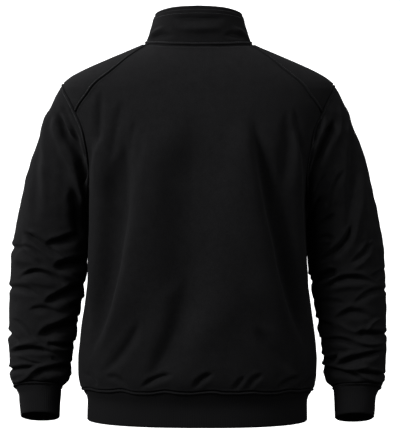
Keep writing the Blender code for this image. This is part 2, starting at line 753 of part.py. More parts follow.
def collar(material):
    """The outer collar, standing on the neck seam."""
    points, out = collar_grid()
    cloth("collar", points, out, CLOTH, material)


def collar_facing(material):
    """The inner collar, which lies in the outer one and stands above it, clear of the zip."""
    points, out = (grid[:, 1:-1] for grid in collar_grid())
    points = points - (FACING_GAP + CLOTH) * out
    points[0] += FACING_SHORT * (points[1] - points[0])
    above = np.concatenate([points, points[-1:] + np.array([0, 0, FACING_STANDS])])
    out = np.concatenate([out, out[-1:]])
    cloth("collar_facing", above, out, FACING, material)


def front_strip(across, tail, top):
    """Points of the garment's face beside the middle of the front, up to the collar's top."""
    bottom = ARMHOLE[SLIT_BOTTOM_ROW].height - tail
    across = np.asarray(across, float)
    size, side = np.abs(across), np.where(across < 0, -1.0, 1.0)
    rows = []
    for height in np.linspace(bottom, NECK[0].height, 11):
        point = body(side_angle(size, height, True), np.full(len(size), height))
        rows.append(point * np.stack([side, np.ones(len(side)), np.ones(len(side))], axis=-1))
    for up in np.linspace(0.1, top, 5):
        around = neck_around(size)
        around = np.where(side < 0, 180 - around, around)
        rows.append(collar_surface(around, np.full(len(size), up)))
    return np.array(rows)


def under_face(name, across, tail, top, depth, thickness, material):
    """A strip of the zip that lies a given depth under the garment's face."""
    points = front_strip(across, tail, top)
    out = grid_out(points, False)
    wall(name, points - depth * out, points - (depth + thickness) * out, material)


def zip_parts(tape, coil, metal):
    """The closed zip, its slider at the top of the collar with its pull hanging down."""
    chain_depth = CLOTH + 3 * SEAM
    tape_depth = chain_depth + (CHAIN - TAPE) / 2
    for side, name in ((1, "zip_tape_left"), (-1, "zip_tape_right")):
        across = [side * TAPE_INNER, side * (TAPE_INNER + TAPE_OUTER) / 2, side * TAPE_OUTER]
        under_face(name, sorted(across), TAPE_TAIL, TAPE_TOP, tape_depth, TAPE, tape)
    coils = [-CHAIN_HALF, 0, CHAIN_HALF]
    under_face("zip_chain", coils, -STOP_LENGTH - 1.5, SLIDER_AT, chain_depth, CHAIN, coil)
    seat = collar_surface(np.array([-90.0]), np.array([SLIDER_AT]))[0]
    below = collar_surface(np.array([-90.0]), np.array([SLIDER_AT - 0.1]))[0]
    place = Placing(seat, seat - below, chain_depth)
    slider(place, metal)
    pull(place, metal)
    bottom = front_strip([0.0], 0, 0.5)
    at_end = Placing(bottom[0, 0], bottom[1, 0] - bottom[0, 0], chain_depth)
    reach = (-(CHAIN + STOP_THICK) / 2, (STOP_THICK - CHAIN) / 2)
    box = at_end.box((-STOP_HALF, STOP_HALF), (1.0, 1.0 + STOP_LENGTH), reach)
    put("zip_bottom_stop", box, metal)


class Placing:
    """A frame on the zip: right, up along the zip, and out from the chain's face."""

    def __init__(self, face, up, chain_depth):
        self.right = np.array([1.0, 0.0, 0.0])
        self.up = unit(up)
        self.out = unit(np.cross(self.right, self.up))
        self.origin = face - chain_depth * self.out

    def point(self, right, up, out):
        """A point this far right, up and out."""
        return self.origin + right * self.right + up * self.up + out * self.out

    def box(self, right, up, out):
        """A box between pairs of distances."""
        bm = bmesh.new()
        corners = [bm.verts.new(self.point(r, u, o)) for o in out for u in up for r in right]
        for face in ("0132", "4576", "0154", "2376", "0264", "1375"):
            bm.faces.new([corners[int(i)] for i in face])
        return bm


def slider(place, metal):
    """Two plates round the chain's top end, joined by a post, with a bail over the front one."""
    face = SEAM + PLATE
    back = -CHAIN - SEAM
    rise = face + BAIL_RISE
    plate = (-PLATE_HALF, PLATE_HALF)
    length = (SLIDER_BOTTOM, SLIDER_TOP)
    bail = (-BAIL_HALF, BAIL_HALF)
    low, high = PIVOT_UP - BAIL_REACH, PIVOT_UP + BAIL_REACH
    foot = (face - OVERLAP, rise + OVERLAP)
    post_up = (POST_BOTTOM, SLIDER_TOP - OVERLAP)
    whole = put("zip_slider", place.box(plate, length, (SEAM, face)), metal)
    parts = (
        ("back_plate", plate, length, (back - PLATE, back)),
        ("post", (-POST_HALF, POST_HALF), post_up, (back - OVERLAP, SEAM + OVERLAP)),
        ("low_foot", bail, (low - BAIL_WIRE, low), foot),
        ("high_foot", bail, (high, high + BAIL_WIRE), foot),
        ("bar", bail, (low - BAIL_WIRE, high + BAIL_WIRE), (rise, rise + BAIL_WIRE)),
    )
    for name, right, up, out in parts:
        piece = put("slider_" + name, place.box(right, up, out), metal)
        piece.hide_render = True
        piece.display_type = "WIRE"
        joined = whole.modifiers.new(name, "BOOLEAN")
        joined.operation = "UNION"
        joined.solver = "EXACT"
        joined.object = piece


def pull(place, metal):
    """The tab, which swings on its top bar inside the bail."""
    middle = SEAM + PLATE + BAIL_RISE / 2
    bar = PULL_THICK / 2
    right = (-PULL_HALF, -PULL_HOLE_HALF, PULL_HOLE_HALF, PULL_HALF)
    down = (-bar, bar, PULL_HOLE_LENGTH, PULL_NARROWS, PULL_LENGTH)
    grids = []
    for out in (middle + bar, middle - bar):
        grids.append(np.array([[place.point(r, PIVOT_UP - d, out) for r in right] for d in down]))
    pivot = place.point(0, PIVOT_UP, middle)
    wall("zip_pull", *grids, metal, missing={(1, 1)}, at=tuple(pivot))


def main():
    for thing in list(bpy.data.objects):
        bpy.data.objects.remove(thing)
    fleece = finish("fleece", CLOTH_COLOUR, 0.95)
    rib = finish("rib", RIB_COLOUR, 0.95)
    tape = finish("zip_tape", TAPE_COLOUR, 0.8)
    coil = finish("zip_coil", COIL_COLOUR, 0.45)
    metal = finish("painted_metal", METAL_COLOUR, 0.4, 0.8)
    back_angles = back_panel(fleece)
    front_angles = front_panel(fleece)
    hem_band(back_angles, front_angles, rib)
    for side in (1, -1):
        shoulder_yoke(side, fleece)
        sleeve_and_cuff(side, fleece, rib)
    collar(fleece)
    collar_facing(fleece)
    zip_parts(tape, coil, metal)


main()
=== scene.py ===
"""A black quarter-zip fleece, filled out as worn with no wearer in it, seen from behind.

The tables are in millimetres and degrees, and the meshes in metres, in the frame of the
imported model. +Z is up, the front faces -Y and the wearer's left is +X. The origin is the
middle of the neck opening.

Each piece of cloth is a shell: a fine grid of points on its outer face, the same grid moved
in by the cloth's thickness, and a rounded edge that joins them. Pieces that are sewn
together share the points of their seam.
"""

import math
from collections import namedtuple

import bmesh
import bpy
import numpy as np
from mathutils import Matrix, Vector
from mathutils.kdtree import KDTree


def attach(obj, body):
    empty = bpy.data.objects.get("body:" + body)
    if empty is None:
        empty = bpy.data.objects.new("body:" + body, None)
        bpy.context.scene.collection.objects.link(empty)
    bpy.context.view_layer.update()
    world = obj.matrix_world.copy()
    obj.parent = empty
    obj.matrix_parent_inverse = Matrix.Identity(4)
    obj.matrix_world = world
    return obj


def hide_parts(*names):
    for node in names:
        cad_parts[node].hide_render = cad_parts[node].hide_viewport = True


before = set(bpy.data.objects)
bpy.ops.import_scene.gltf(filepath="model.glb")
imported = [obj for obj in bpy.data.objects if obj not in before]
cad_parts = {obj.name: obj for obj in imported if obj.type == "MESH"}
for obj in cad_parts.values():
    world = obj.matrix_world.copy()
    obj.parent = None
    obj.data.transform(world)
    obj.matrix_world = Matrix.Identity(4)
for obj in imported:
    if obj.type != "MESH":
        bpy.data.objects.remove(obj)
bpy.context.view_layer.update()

MM = 0.001

# Cloth
CLOTH = 2.0  # brushed fleece
RIB = 3.0  # doubled rib of the hem and cuffs
FACING = 1.6  # inner collar
TAPE = 1.0  # woven zip tape

# Body
BODY_SQUARENESS = 2.35  # 2 is an ellipse, and more is squarer
YOKE_CORNER = -132.0
YOKE_CORNER_AROUND = 60.0  # degrees round the sleeve
YOKE_NECK_BACK = 24.0  # degrees round the neck, from the left side to the back
YOKE_NECK_FRONT = -30.0
HEM_SEAM_SIDE = -643.0
HEM_SEAM_RISE = 7.5  # the hem's seam is this much higher at the back than at the side
HEM_BOTTOM = -702.0
FOLDS_END = 6.0  # the body's folds fade out this far above the hem's seam

# Collar
NECK_HALF_WIDTH = 100.0
COLLAR_HALF_WIDTH = 84.0
COLLAR_BACK = 67.0
COLLAR_FRONT = 75.0
COLLAR_SQUARENESS = 2.2
COLLAR_LEAN = 0.8  # under 1, the collar springs in quickly above its seam
COLLAR_EASE = 25.0  # how soon the collar narrows beside the zip
FACING_STANDS = 6.8  # the inner collar stands this much above the outer one
FACING_GAP = 0.4  # between the inner and outer collars

# Zip
SLIT_HALF = 7.0
SLIT_BOTTOM = -252.0
CHAIN_HALF = 2.5
CHAIN = 1.6
TAPE_INNER = 2.8
TAPE_OUTER = 14.0
TAPE_TAIL = 10.0  # the tape runs this far below the slit
TAPE_TOP = 0.97  # up the collar, from 0 to 1
SLIDER_AT = 0.9
CHAIN_DEPTH = CLOTH + 0.9  # under the garment's face

# Fineness of the grids
CLOTH_STEP = 3.3  # between the lines of a smooth panel
FRONT_STEP = 4.2
FOLD_STEP = 2.1  # between the rows of the bunched part of a sleeve
SLEEVE_COLUMNS = 150
SEAM_LINES = (0.5, 1.1, 1.8, 2.6, 3.5, 4.3, 5.0, 6.2, 8.0)  # closer lines beside a seam

Section = namedtuple("Section", "height half_width back front")
BODY = (
    Section(0, 100, 55, 40),
    Section(-8, 118, 62, 43),
    Section(-20, 146.5, 71, 49),
    Section(-40, 193.5, 84, 61),
    Section(-55, 224.7, 91.5, 68),
    Section(-65, 241.3, 95.5, 72),
    Section(-75, 252.4, 99.3, 75),
    Section(-88, 258, 103, 79),
    Section(-110, 255.5, 109, 87),
    Section(-135, 248, 116, 95),
    Section(-187, 233, 126, 109),
    Section(-242, 217, 131.5, 116.5),
    Section(-295, 204.5, 135, 122),
    Section(-340, 203, 136, 124),
    Section(-380, 203.5, 136, 124),
    Section(-435, 205.4, 135, 122),
    Section(-480, 210.8, 134.5, 121),
    Section(-525, 216.8, 134, 121),
    Section(-570, 222, 134, 122),
    Section(-592, 224, 134.5, 122.5),
    Section(-615, 223.4, 134, 122),
    Section(-637, 220, 130, 119),
    Section(-649, 214, 125, 114),
    Section(-660, 207.5, 120.5, 110),
    Section(-671, 206, 119, 109),
    Section(-702, 206.6, 119, 109),
)

# The neck seam, from the left side (0) to the middle of the back (90) or front (-90).
NeckPoint = namedtuple("NeckPoint", "around across height")
NECK = (
    NeckPoint(-90, 0, -88),
    NeckPoint(-70, 52, -71),
    NeckPoint(-50, 82, -41),
    NeckPoint(-30, 95, -13),
    NeckPoint(-12, 99.6, -3.4),
    NeckPoint(0, NECK_HALF_WIDTH, 0),
    NeckPoint(12, 98.5, -1.6),
    NeckPoint(24, 93, -3.6),
    NeckPoint(40, 76, -4.8),
    NeckPoint(60, 50, -6.7),
    NeckPoint(90, 0, -8),
)

CollarTop = namedtuple("CollarTop", "around height")
COLLAR_TOP = (
    CollarTop(-90, -8),
    CollarTop(-75, -3),
    CollarTop(-60, 8),
    CollarTop(-40, 24),
    CollarTop(-20, 39),
    CollarTop(0, 47.5),
    CollarTop(30, 52.5),
    CollarTop(60, 55.8),
    CollarTop(90, 57),
)

# The armhole, from the top of the shoulder (0) round the sleeve to the armpit (180).
ArmholePoint = namedtuple("ArmholePoint", "around height back_across front_across")
ARMHOLE = (
    ArmholePoint(0, -75, 252.4, 252.4),
    ArmholePoint(15, -80.5, 250.5, 250),
    ArmholePoint(30, -95, 244.8, 242.5),
    ArmholePoint(45, -113, 234.6, 231.5),
    ArmholePoint(YOKE_CORNER_AROUND, YOKE_CORNER, 225.5, 222),
    ArmholePoint(75, -156, 214.6, 210),
    ArmholePoint(90, -180, 208.2, 203.5),
    ArmholePoint(105, -204, 204.5, 200),
    ArmholePoint(120, -228, 202.7, 198.5),
    ArmholePoint(135, -252, 202, 199),
    ArmholePoint(150, -269, 202.4, 200.8),
    ArmholePoint(165, -282, 203.8, 203.2),
    ArmholePoint(180, -290, 205.6, 205.6),
)

# The yoke's seams, from the neck to the armhole.
SeamPoint = namedtuple("SeamPoint", "height across")
YOKE_BACK_SEAM = (
    SeamPoint(-3.6, 93),
    SeamPoint(-22.5, 120.8),
    SeamPoint(-42, 143.9),
    SeamPoint(-61.5, 167),
    SeamPoint(-80.5, 190),
    SeamPoint(-97, 202.5),
    SeamPoint(-113, 215),
    SeamPoint(YOKE_CORNER, 225.5),
)
YOKE_FRONT_SEAM = (
    SeamPoint(-13, 95),
    SeamPoint(-32, 118),
    SeamPoint(-50, 140),
    SeamPoint(-68, 161),
    SeamPoint(-85, 182),
    SeamPoint(-100, 199),
    SeamPoint(-115, 213),
    SeamPoint(YOKE_CORNER, 222),
)

# The hem's seam rises and dips round the body, and is pulled up into small gathers.
Wave = namedtuple("Wave", "across rise")
HEM_WAVES_BACK = (
    Wave(-214, -0.5),
    Wave(-190, 3.0),
    Wave(-176, 1.6),
    Wave(-156, 3.2),
    Wave(-130, -1.0),
    Wave(-112, -0.8),
    Wave(-96, 0.8),
    Wave(-66, -1.2),
    Wave(-47, -1.2),
    Wave(-27, 1.4),
    Wave(16, -2.0),
    Wave(36, -0.9),
    Wave(55, 1.9),
    Wave(84, -1.9),
    Wave(105, -1.4),
    Wave(129, 3.6),
    Wave(150, 1.2),
    Wave(168, 1.0),
    Wave(188, 3.6),
    Wave(206, 0.5),
    Wave(214, -0.5),
)
HEM_WAVES_FRONT = (
    Wave(-215, 0.5),
    Wave(-180, 2.2),
    Wave(-145, -1.6),
    Wave(-104, 1.8),
    Wave(-60, -1.8),
    Wave(-18, 1.0),
    Wave(26, -1.9),
    Wave(70, 1.6),
    Wave(112, -1.5),
    Wave(150, 2.0),
    Wave(188, -0.5),
    Wave(215, 2.0),
)

# The sleeve below the shoulder. A tilted section is higher at the back than at the front.
Ring = namedtuple("Ring", "height outer inner middle half_depth tilt")
SLEEVE = (
    Ring(-335, 343, 203.5, -28, 71, 0),
    Ring(-390, 352.5, 205.5, -29, 70, 0),
    Ring(-435, 354, 212, -26, 69, 2),
    Ring(-480, 355.5, 218.5, -21, 67, 4),
    Ring(-514, 355.5, 225, -16, 65, 6),
    Ring(-540, 355.5, 229, -12, 63, 8),
    Ring(-575, 355, 235, -6, 60, 10),
    Ring(-604, 352.5, 237, 0, 57, 13),
    Ring(-628, 351, 241, 5, 53, 16),
    Ring(-641, 344.5, 255, 8, 45, 17),
)
CUFF = (
    Ring(-641, 344.5, 255, 8, 45, 17),
    Ring(-650, 338.5, 255.2, 10.5, 41.5, 18),
    Ring(-660, 334, 255.5, 13, 39, 18.5),
    Ring(-672, 332.7, 256.3, 15.5, 38.2, 19),
    Ring(-696, 330.2, 257, 20, 37, 20),
)
SLEEVE_SOLIDS = ("sleeve", "elbow", "forearm", "sleeve_end")  # one piece of cloth here
SLEEVE_SQUARENESS = 2.2
PAST_THE_SIDE = 0.35  # how soon the folds behind a sleeve give way to those before it
FOLDS_START = 9.0  # the sleeve's folds start this far from the armhole
FOLDS_STOP = 7.0  # and end this far above the cuff

# How the sleeve's lengthwise lines leave the armhole and reach the upper arm. Each column
# is a side of the sleeve, and each direction is as long as the bend that it makes.
Bend = namedtuple("Bend", "around out back up")
LEAVES_ARMHOLE = (
    Bend(0, 143, 0, -217),
    Bend(45, 115, -15, -200),
    Bend(90, 50, -45, -150),
    Bend(135, 15, -20, -90),
    Bend(180, 2, 0, -45),
)
REACHES_ARM = (
    Bend(0, 52, 0, -256),
    Bend(45, 40, 0, -230),
    Bend(90, 15, 0, -150),
    Bend(135, 0, 0, -80),
    Bend(180, 1, 0, -45),
)

# Folds, placed as they are seen from straight behind or in front. A fold is a curve through
# three points. Its depth is out from the cloth, so a trough's is below 0. It is as wide as
# "above" says on its side towards the wearer's upper left, and as "below" on the other side.
Fold = namedtuple(
    "Fold", "across_1 height_1 across_2 height_2 across_3 height_3 depth above below"
)
BACK_FOLDS = (
    # the left drape: a long hollow that rises steeply to a crest nearer the middle
    Fold(133, -140, 148, -372, 207, -600, -21, 30, 11),
    Fold(92, -150, 114, -370, 188, -600, 11, 12, 38),
    Fold(185, -150, 184, -340, 202, -570, 15, 9, 19),
    # the right drape, whose crest falls away steeply into a hollow on its outer side
    Fold(-98, -130, -142, -345, -208, -590, -19, 13, 17),
    Fold(-74, -132, -104, -335, -172, -574, 13, 42, 18),
    Fold(-179, -150, -181, -330, -201, -560, 15, 18, 9),
    # the broad hollow down the middle, and the fold that it becomes above the hem
    Fold(12, -110, 12, -350, 34, -560, -17, 40, 48),
    Fold(16, -420, 42, -530, 95, -628, -10, 16, 34),
    # beside the armholes
    Fold(179, -87, 180, -145, 186, -212, -5, 7, 7),
    Fold(139, -107, 149, -164, 164, -232, -4.5, 8, 10),
    Fold(112, -143, 119, -182, 126, -227, -2.5, 7, 7),
    Fold(-158, -125, -160, -200, -152, -299, -4, 9, 12),
    Fold(-172, -120, -183, -169, -187, -218, -4, 5, 8),
    # above the hem
    Fold(103, -502, 130, -560, 180, -611, -5, 9, 9),
    Fold(-100, -517, -140, -563, -183, -609, -5, 8, 14),
    # gathers on the hem
    Fold(210, -609, 193, -620, 184, -634, -5, 4, 6),
    Fold(168, -614, 146, -614, 123, -632, -4, 4, 6),
    Fold(105, -632, 74, -612, 42, -605, -6, 4, 6),
    Fold(8, -632, -7, -612, -30, -603, -6, 4.5, 6),
    Fold(-64, -635, -75, -619, -86, -608, -4, 4, 5),
    Fold(-88, -635, -100, -615, -120, -605, -5, 4, 5.5),
    Fold(-145, -632, -165, -620, -191, -613, -5, 4, 6),
    Fold(-189, -638, -200, -625, -212, -614, -4, 4, 5),
)
FRONT_FOLDS = (
    Fold(120, -190, 135, -330, 190, -560, -6, 14, 12),
    Fold(92, -200, 110, -340, 168, -590, 4, 12, 18),
    Fold(-105, -210, -130, -360, -195, -590, -6, 12, 14),
    Fold(-80, -200, -98, -340, -160, -590, 4, 20, 12),
    Fold(-60, -430, -68, -530, -100, -600, -5, 11, 14),
    Fold(70, -500, 90, -560, 130, -600, -5, 11, 14),
    Fold(182, -112, 186, -150, 182, -200, -4, 9, 9),
    Fold(-180, -116, -185, -156, -181, -206, -4, 9, 9),
    Fold(150, -150, 158, -190, 172, -240, -3.5, 8, 9),
    Fold(-148, -146, -156, -192, -170, -244, -3.5, 8, 9),
    Fold(115, -616, 132, -626, 150, -644, -4.5, 4, 6),
    Fold(44, -644, 30, -626, 26, -606, -4, 4, 5),
    Fold(-30, -606, -44, -624, -60, -644, -4.5, 4, 6),
    Fold(-130, -606, -120, -624, -104, -644, -4.5, 4, 6),
    Fold(186, -600, 176, -622, 172, -644, -4, 4, 5),
    Fold(-186, -610, -180, -626, -166, -644, -4, 4, 5),
)

LEFT_SLEEVE_FOLDS = (
    # the cap and upper arm
    Fold(261, -130, 242, -176, 203, -239, -18, 4.5, 11),
    Fold(244, -167, 225, -193, 207, -217, -4, 1.5, 3.5),
    Fold(272, -124, 255, -189, 210, -284, 2.5, 7, 4),
    Fold(251, -124, 238, -161, 214, -209, 3, 5.5, 3),
    Fold(255, -111, 240, -141, 222, -176, -5, 3, 7),
    Fold(281, -102, 287, -198, 281, -332, 3.5, 12, 7),
    Fold(294, -139, 303, -254, 300, -343, -4, 7, 16),
    Fold(251, -198, 248, -273, 255, -332, -1.5, 6.5, 14.5),
    Fold(238, -265, 222, -314, 225, -373, -11, 8, 17.5),
    Fold(210, -204, 203, -309, 203, -384, -12, 6, 11.5),
    Fold(234, -150, 218, -216, 204, -300, -18, 7, 9),
    # the elbow
    Fold(324, -351, 290, -373, 240, -407, -12, 3.5, 8),
    Fold(329, -358, 309, -390, 285, -408, 3.5, 7, 4),
    Fold(335, -379, 309, -382, 283, -405, -3.5, 2.5, 5),
    Fold(283, -371, 255, -368, 214, -349, -11, 5, 11.5),
    Fold(277, -373, 255, -392, 229, -407, 2.5, 4.5, 2.5),
    Fold(268, -418, 240, -410, 196, -403, -14, 6, 13),
    Fold(263, -423, 240, -436, 214, -453, 3.5, 5.5, 3),
    Fold(367, -386, 348, -382, 324, -382, -5, 4, 8.5),
    Fold(348, -407, 322, -407, 285, -414, 3.5, 12, 7),
    # the bunched forearm
    Fold(333, -440, 292, -425, 240, -457, -9, 3, 7),
    Fold(337, -447, 292, -447, 251, -459, 3, 9.5, 5),
    Fold(367, -466, 333, -455, 290, -472, -6, 3.5, 8),
    Fold(285, -483, 255, -468, 203, -440, -13, 5, 11.5),
    Fold(240, -488, 225, -485, 199, -477, -7, 4, 8.5),
    Fold(315, -500, 285, -492, 244, -509, -5, 4, 8.5),
    Fold(289, -518, 255, -516, 225, -488, 3, 8, 4.5),
    Fold(296, -544, 263, -529, 214, -511, -14, 6, 13),
    Fold(277, -553, 259, -561, 214, -559, -8, 3, 7),
    Fold(348, -513, 322, -527, 292, -557, -4, 2.5, 5),
    Fold(367, -540, 348, -546, 329, -563, -7, 3, 7),
    Fold(348, -570, 315, -557, 289, -555, 3, 7, 4),
    Fold(277, -559, 255, -570, 233, -570, 3, 7, 4),
    Fold(356, -581, 311, -566, 263, -578, -9, 3, 6.5),
    Fold(333, -581, 311, -591, 281, -594, -3.5, 2, 4.5),
    Fold(270, -580, 261, -589, 248, -600, -3, 2, 4.5),
    Fold(363, -615, 333, -604, 294, -598, -9, 3, 6.5),
    Fold(348, -633, 315, -620, 289, -594, 4, 5.5, 3),
    Fold(311, -619, 277, -604, 218, -600, -11, 3.5, 8),
    Fold(285, -624, 259, -620, 222, -620, 3, 5.5, 3),
)
LEFT_SLEEVE_FRONT_FOLDS = (
    Fold(240, -140, 226, -185, 212, -245, -9, 6, 10),
    Fold(290, -180, 286, -260, 300, -335, -4, 10, 12),
    Fold(356, -352, 300, -385, 222, -404, -9, 5, 9),
    Fold(366, -418, 310, -428, 240, -424, -7, 5, 8),
    Fold(262, -440, 232, -452, 196, -462, -8, 5, 8),
    Fold(366, -476, 300, -484, 210, -470, -9, 5, 8),
    Fold(366, -514, 310, -506, 250, -512, -6, 4, 7),
    Fold(276, -530, 244, -534, 205, -528, -9, 5, 9),
    Fold(368, -562, 300, -552, 216, -560, -9, 4, 7),
    Fold(366, -598, 300, -590, 225, -602, -9, 4, 7),
    Fold(330, -612, 290, -616, 236, -610, -4, 3, 5),
)
RIGHT_SLEEVE_FOLDS = (
    # the cap and upper arm
    Fold(-253, -140, -228, -186, -202, -262, -19, 4.5, 9),
    Fold(-256, -111, -264, -150, -249, -195, 3.5, 5.5, 3),
    Fold(-239, -128, -226, -161, -213, -191, 3, 7, 4),
    Fold(-225, -131, -217, -161, -210, -195, -7, 3, 7),
    Fold(-275, -113, -279, -161, -277, -217, 3, 8, 4.5),
    Fold(-286, -128, -286, -236, -273, -366, -6.5, 6.5, 14.5),
    Fold(-305, -217, -303, -301, -280, -388, 4, 11, 6),
    Fold(-321, -254, -323, -310, -318, -358, -2.5, 4.5, 10),
    Fold(-238, -239, -223, -258, -210, -284, -4, 2.5, 6),
    Fold(-228, -284, -215, -306, -204, -340, -9, 3.5, 8),
    Fold(-273, -232, -251, -265, -236, -317, -3.5, 3, 7),
    Fold(-254, -315, -238, -327, -219, -345, -5, 3, 7),
    Fold(-204, -158, -201, -250, -202, -350, -9, 6, 9),
    # the elbow
    Fold(-219, -368, -236, -358, -253, -368, -6, 3, 7),
    Fold(-284, -332, -269, -369, -221, -410, -11, 4, 8.5),
    Fold(-254, -366, -238, -388, -215, -403, 3.5, 5.5, 3),
    Fold(-319, -362, -305, -388, -280, -410, -6, 3, 7),
    Fold(-329, -366, -310, -377, -295, -395, 2.5, 4.5, 2.5),
    Fold(-325, -384, -306, -407, -280, -421, 3, 9.5, 5),
    Fold(-358, -418, -336, -427, -321, -434, -5, 3, 7),
    Fold(-258, -420, -236, -429, -195, -447, -14, 5, 11),
    Fold(-258, -427, -236, -446, -212, -464, 4.5, 5.5, 3),
    # the bunched forearm
    Fold(-228, -466, -273, -434, -331, -447, -10, 3.5, 8),
    Fold(-243, -462, -273, -451, -314, -455, 3, 9.5, 5),
    Fold(-366, -466, -325, -459, -284, -488, -6, 3.5, 8),
    Fold(-210, -483, -243, -477, -275, -483, -5, 3, 7),
    Fold(-292, -483, -271, -492, -249, -511, 3, 7, 4),
    Fold(-325, -511, -288, -496, -254, -514, -6, 4, 9.5),
    Fold(-202, -526, -232, -520, -258, -535, -12, 4, 8.5),
    Fold(-254, -514, -277, -529, -303, -537, 3.5, 7, 4),
    Fold(-292, -539, -318, -537, -370, -544, -10, 4, 8.5),
    Fold(-312, -540, -323, -520, -344, -511, 3.5, 4, 2),
    Fold(-290, -542, -310, -557, -362, -555, 4, 5.5, 3),
    Fold(-217, -563, -258, -548, -303, -565, -9, 3, 6.5),
    Fold(-243, -566, -262, -570, -284, -565, -3, 2, 4.5),
    Fold(-221, -580, -243, -587, -260, -572, -11, 3, 7),
    Fold(-254, -600, -292, -581, -355, -570, -12, 3.5, 8),
    Fold(-254, -589, -273, -578, -295, -568, 3, 7, 4),
    Fold(-217, -602, -266, -607, -316, -622, -11, 3, 7),
    Fold(-262, -600, -292, -602, -321, -596, 3, 5.5, 3),
    Fold(-292, -606, -318, -609, -362, -619, -9, 3, 6.5),
    Fold(-295, -611, -321, -622, -358, -630, 4, 4.5, 2.5),
)
RIGHT_SLEEVE_FRONT_FOLDS = (
    Fold(-238, -142, -224, -190, -210, -250, -9, 10, 6),
    Fold(-288, -190, -292, -270, -306, -340, -4, 12, 10),
    Fold(-360, -366, -300, -392, -222, -398, -9, 5, 9),
    Fold(-366, -420, -310, -434, -240, -426, -7, 5, 8),
    Fold(-262, -446, -232, -452, -196, -446, -8, 5, 8),
    Fold(-366, -488, -300, -472, -210, -478, -9, 5, 8),
    Fold(-366, -522, -310, -530, -240, -520, -8, 4, 8),
    Fold(-366, -568, -300, -558, -216, -548, -8, 4, 7),
    Fold(-366, -604, -300, -596, -222, -604, -9, 4, 7),
    Fold(-330, -580, -290, -578, -240, -584, -4, 3, 5),
)

# Folds of the collar, round it in degrees as the neck is, and up it from 0 to 100.
COLLAR_FOLDS = (
    Fold(14, 14, 26, 34, 44, 58, 3.5, 9, 7),
    Fold(26, 16, 40, 24, 62, 30, -3.5, 8, 12),
    Fold(166, 14, 154, 34, 136, 58, 3.5, 7, 9),
    Fold(154, 16, 140, 24, 118, 30, -3.5, 12, 8),
    Fold(50, 84, 90, 74, 130, 84, -3.5, 9, 12),
    Fold(60, 48, 90, 46, 120, 50, 2.5, 12, 12),
    Fold(-8, 20, -20, 40, -34, 46, -2.5, 10, 10),
    Fold(188, 20, 200, 40, 214, 46, -2.5, 10, 10),
)

# How far the cloth rises beside a seam.
Rise = namedtuple("Rise", "away rise")
TURNED_EDGE = (  # the edge that is turned under and stitched down
    Rise(0, -1.8),
    Rise(0.5, -0.6),
    Rise(1.1, 1.3),
    Rise(1.8, 1.9),
    Rise(2.6, 1.9),
    Rise(3.5, 1.4),
    Rise(4.3, 0.2),
    Rise(5.0, -0.7),
    Rise(6.2, -0.2),
    Rise(8.0, 0.0),
)
ARMHOLE_EDGE = (  # the sleeve's strip between its seam and the row of stitches beside it
    Rise(0, -1.8),
    Rise(0.5, -0.8),
    Rise(1.1, 0.8),
    Rise(1.8, 1.2),
    Rise(3.5, 1.1),
    Rise(4.3, 0.6),
    Rise(5.0, -0.4),
    Rise(5.6, -0.9),
    Rise(6.2, -0.5),
    Rise(8.0, 0.0),
)
BAND_EDGE = (  # the rib, which stands up in a roll where the cloth is gathered to it
    Rise(0, -2.0),
    Rise(0.5, -0.4),
    Rise(1.1, 1.4),
    Rise(1.8, 2.1),
    Rise(2.6, 2.2),
    Rise(3.5, 1.7),
    Rise(4.3, 0.5),
    Rise(5.0, -0.6),
    Rise(6.2, -0.7),
    Rise(8.0, 0.0),
)
NECK_EDGE = (  # the collar's foot, and the body under it; they meet at an angle
    Rise(0, 0.0),
    Rise(0.5, -0.2),
    Rise(1.1, 1.2),
    Rise(1.8, 1.7),
    Rise(3.5, 1.4),
    Rise(4.3, 0.2),
    Rise(5.0, -0.6),
    Rise(6.2, -0.2),
    Rise(8.0, 0.0),
)
UNDER_COLLAR = (
    Rise(0, 0.0),
    Rise(0.5, -1.1),
    Rise(2.4, -1.8),
    Rise(4.3, -0.4),
    Rise(6.2, 0.3),
    Rise(9.0, 0.0),
)
FLAT_EDGE = (  # the edge that the other one lies on
    Rise(0, -1.8),
    Rise(0.5, -1.6),
    Rise(1.1, -1.0),
    Rise(2.6, 0.5),
    Rise(4.3, 0.5),
    Rise(6.2, 0.0),
)


def read(table, column, at, by="height"):
    """A column of a table, on a smooth curve through its rows that never overshoots them."""
    rows = sorted(table, key=lambda row: getattr(row, by))
    x = np.array([getattr(row, by) for row in rows], float)
    y = np.array([getattr(row, column) for row in rows], float)
    at = np.clip(np.asarray(at, float), x[0], x[-1])
    step = np.diff(x)
    slope = np.diff(y) / step
    tangent = np.concatenate([slope[:1], np.zeros(len(x) - 2), slope[-1:]])
    for i in range(1, len(x) - 1):
        if slope[i - 1] * slope[i] > 0:
            before = 2 * step[i] + step[i - 1]
            after = step[i] + 2 * step[i - 1]
            tangent[i] = (before + after) / (before / slope[i - 1] + after / slope[i])
    i = np.clip(np.searchsorted(x, at) - 1, 0, len(x) - 2)
    t = (at - x[i]) / step[i]
    value = y[i] * (1 + 2 * t) * (1 - t) ** 2 + y[i + 1] * (3 - 2 * t) * t**2
    bend = tangent[i] * t * (1 - t) ** 2 - tangent[i + 1] * (1 - t) * t**2
    return value + bend * step[i]


def read_smoothed(table, column, at, reach=16.0):
    """The same, averaged over a few mm above and below."""
    weights = (1, 4, 6, 4, 1)
    steps = np.array([-1, -0.5, 0, 0.5, 1]) * reach
    return sum(w * read(table, column, at + step) for w, step in zip(weights, steps)) / 16


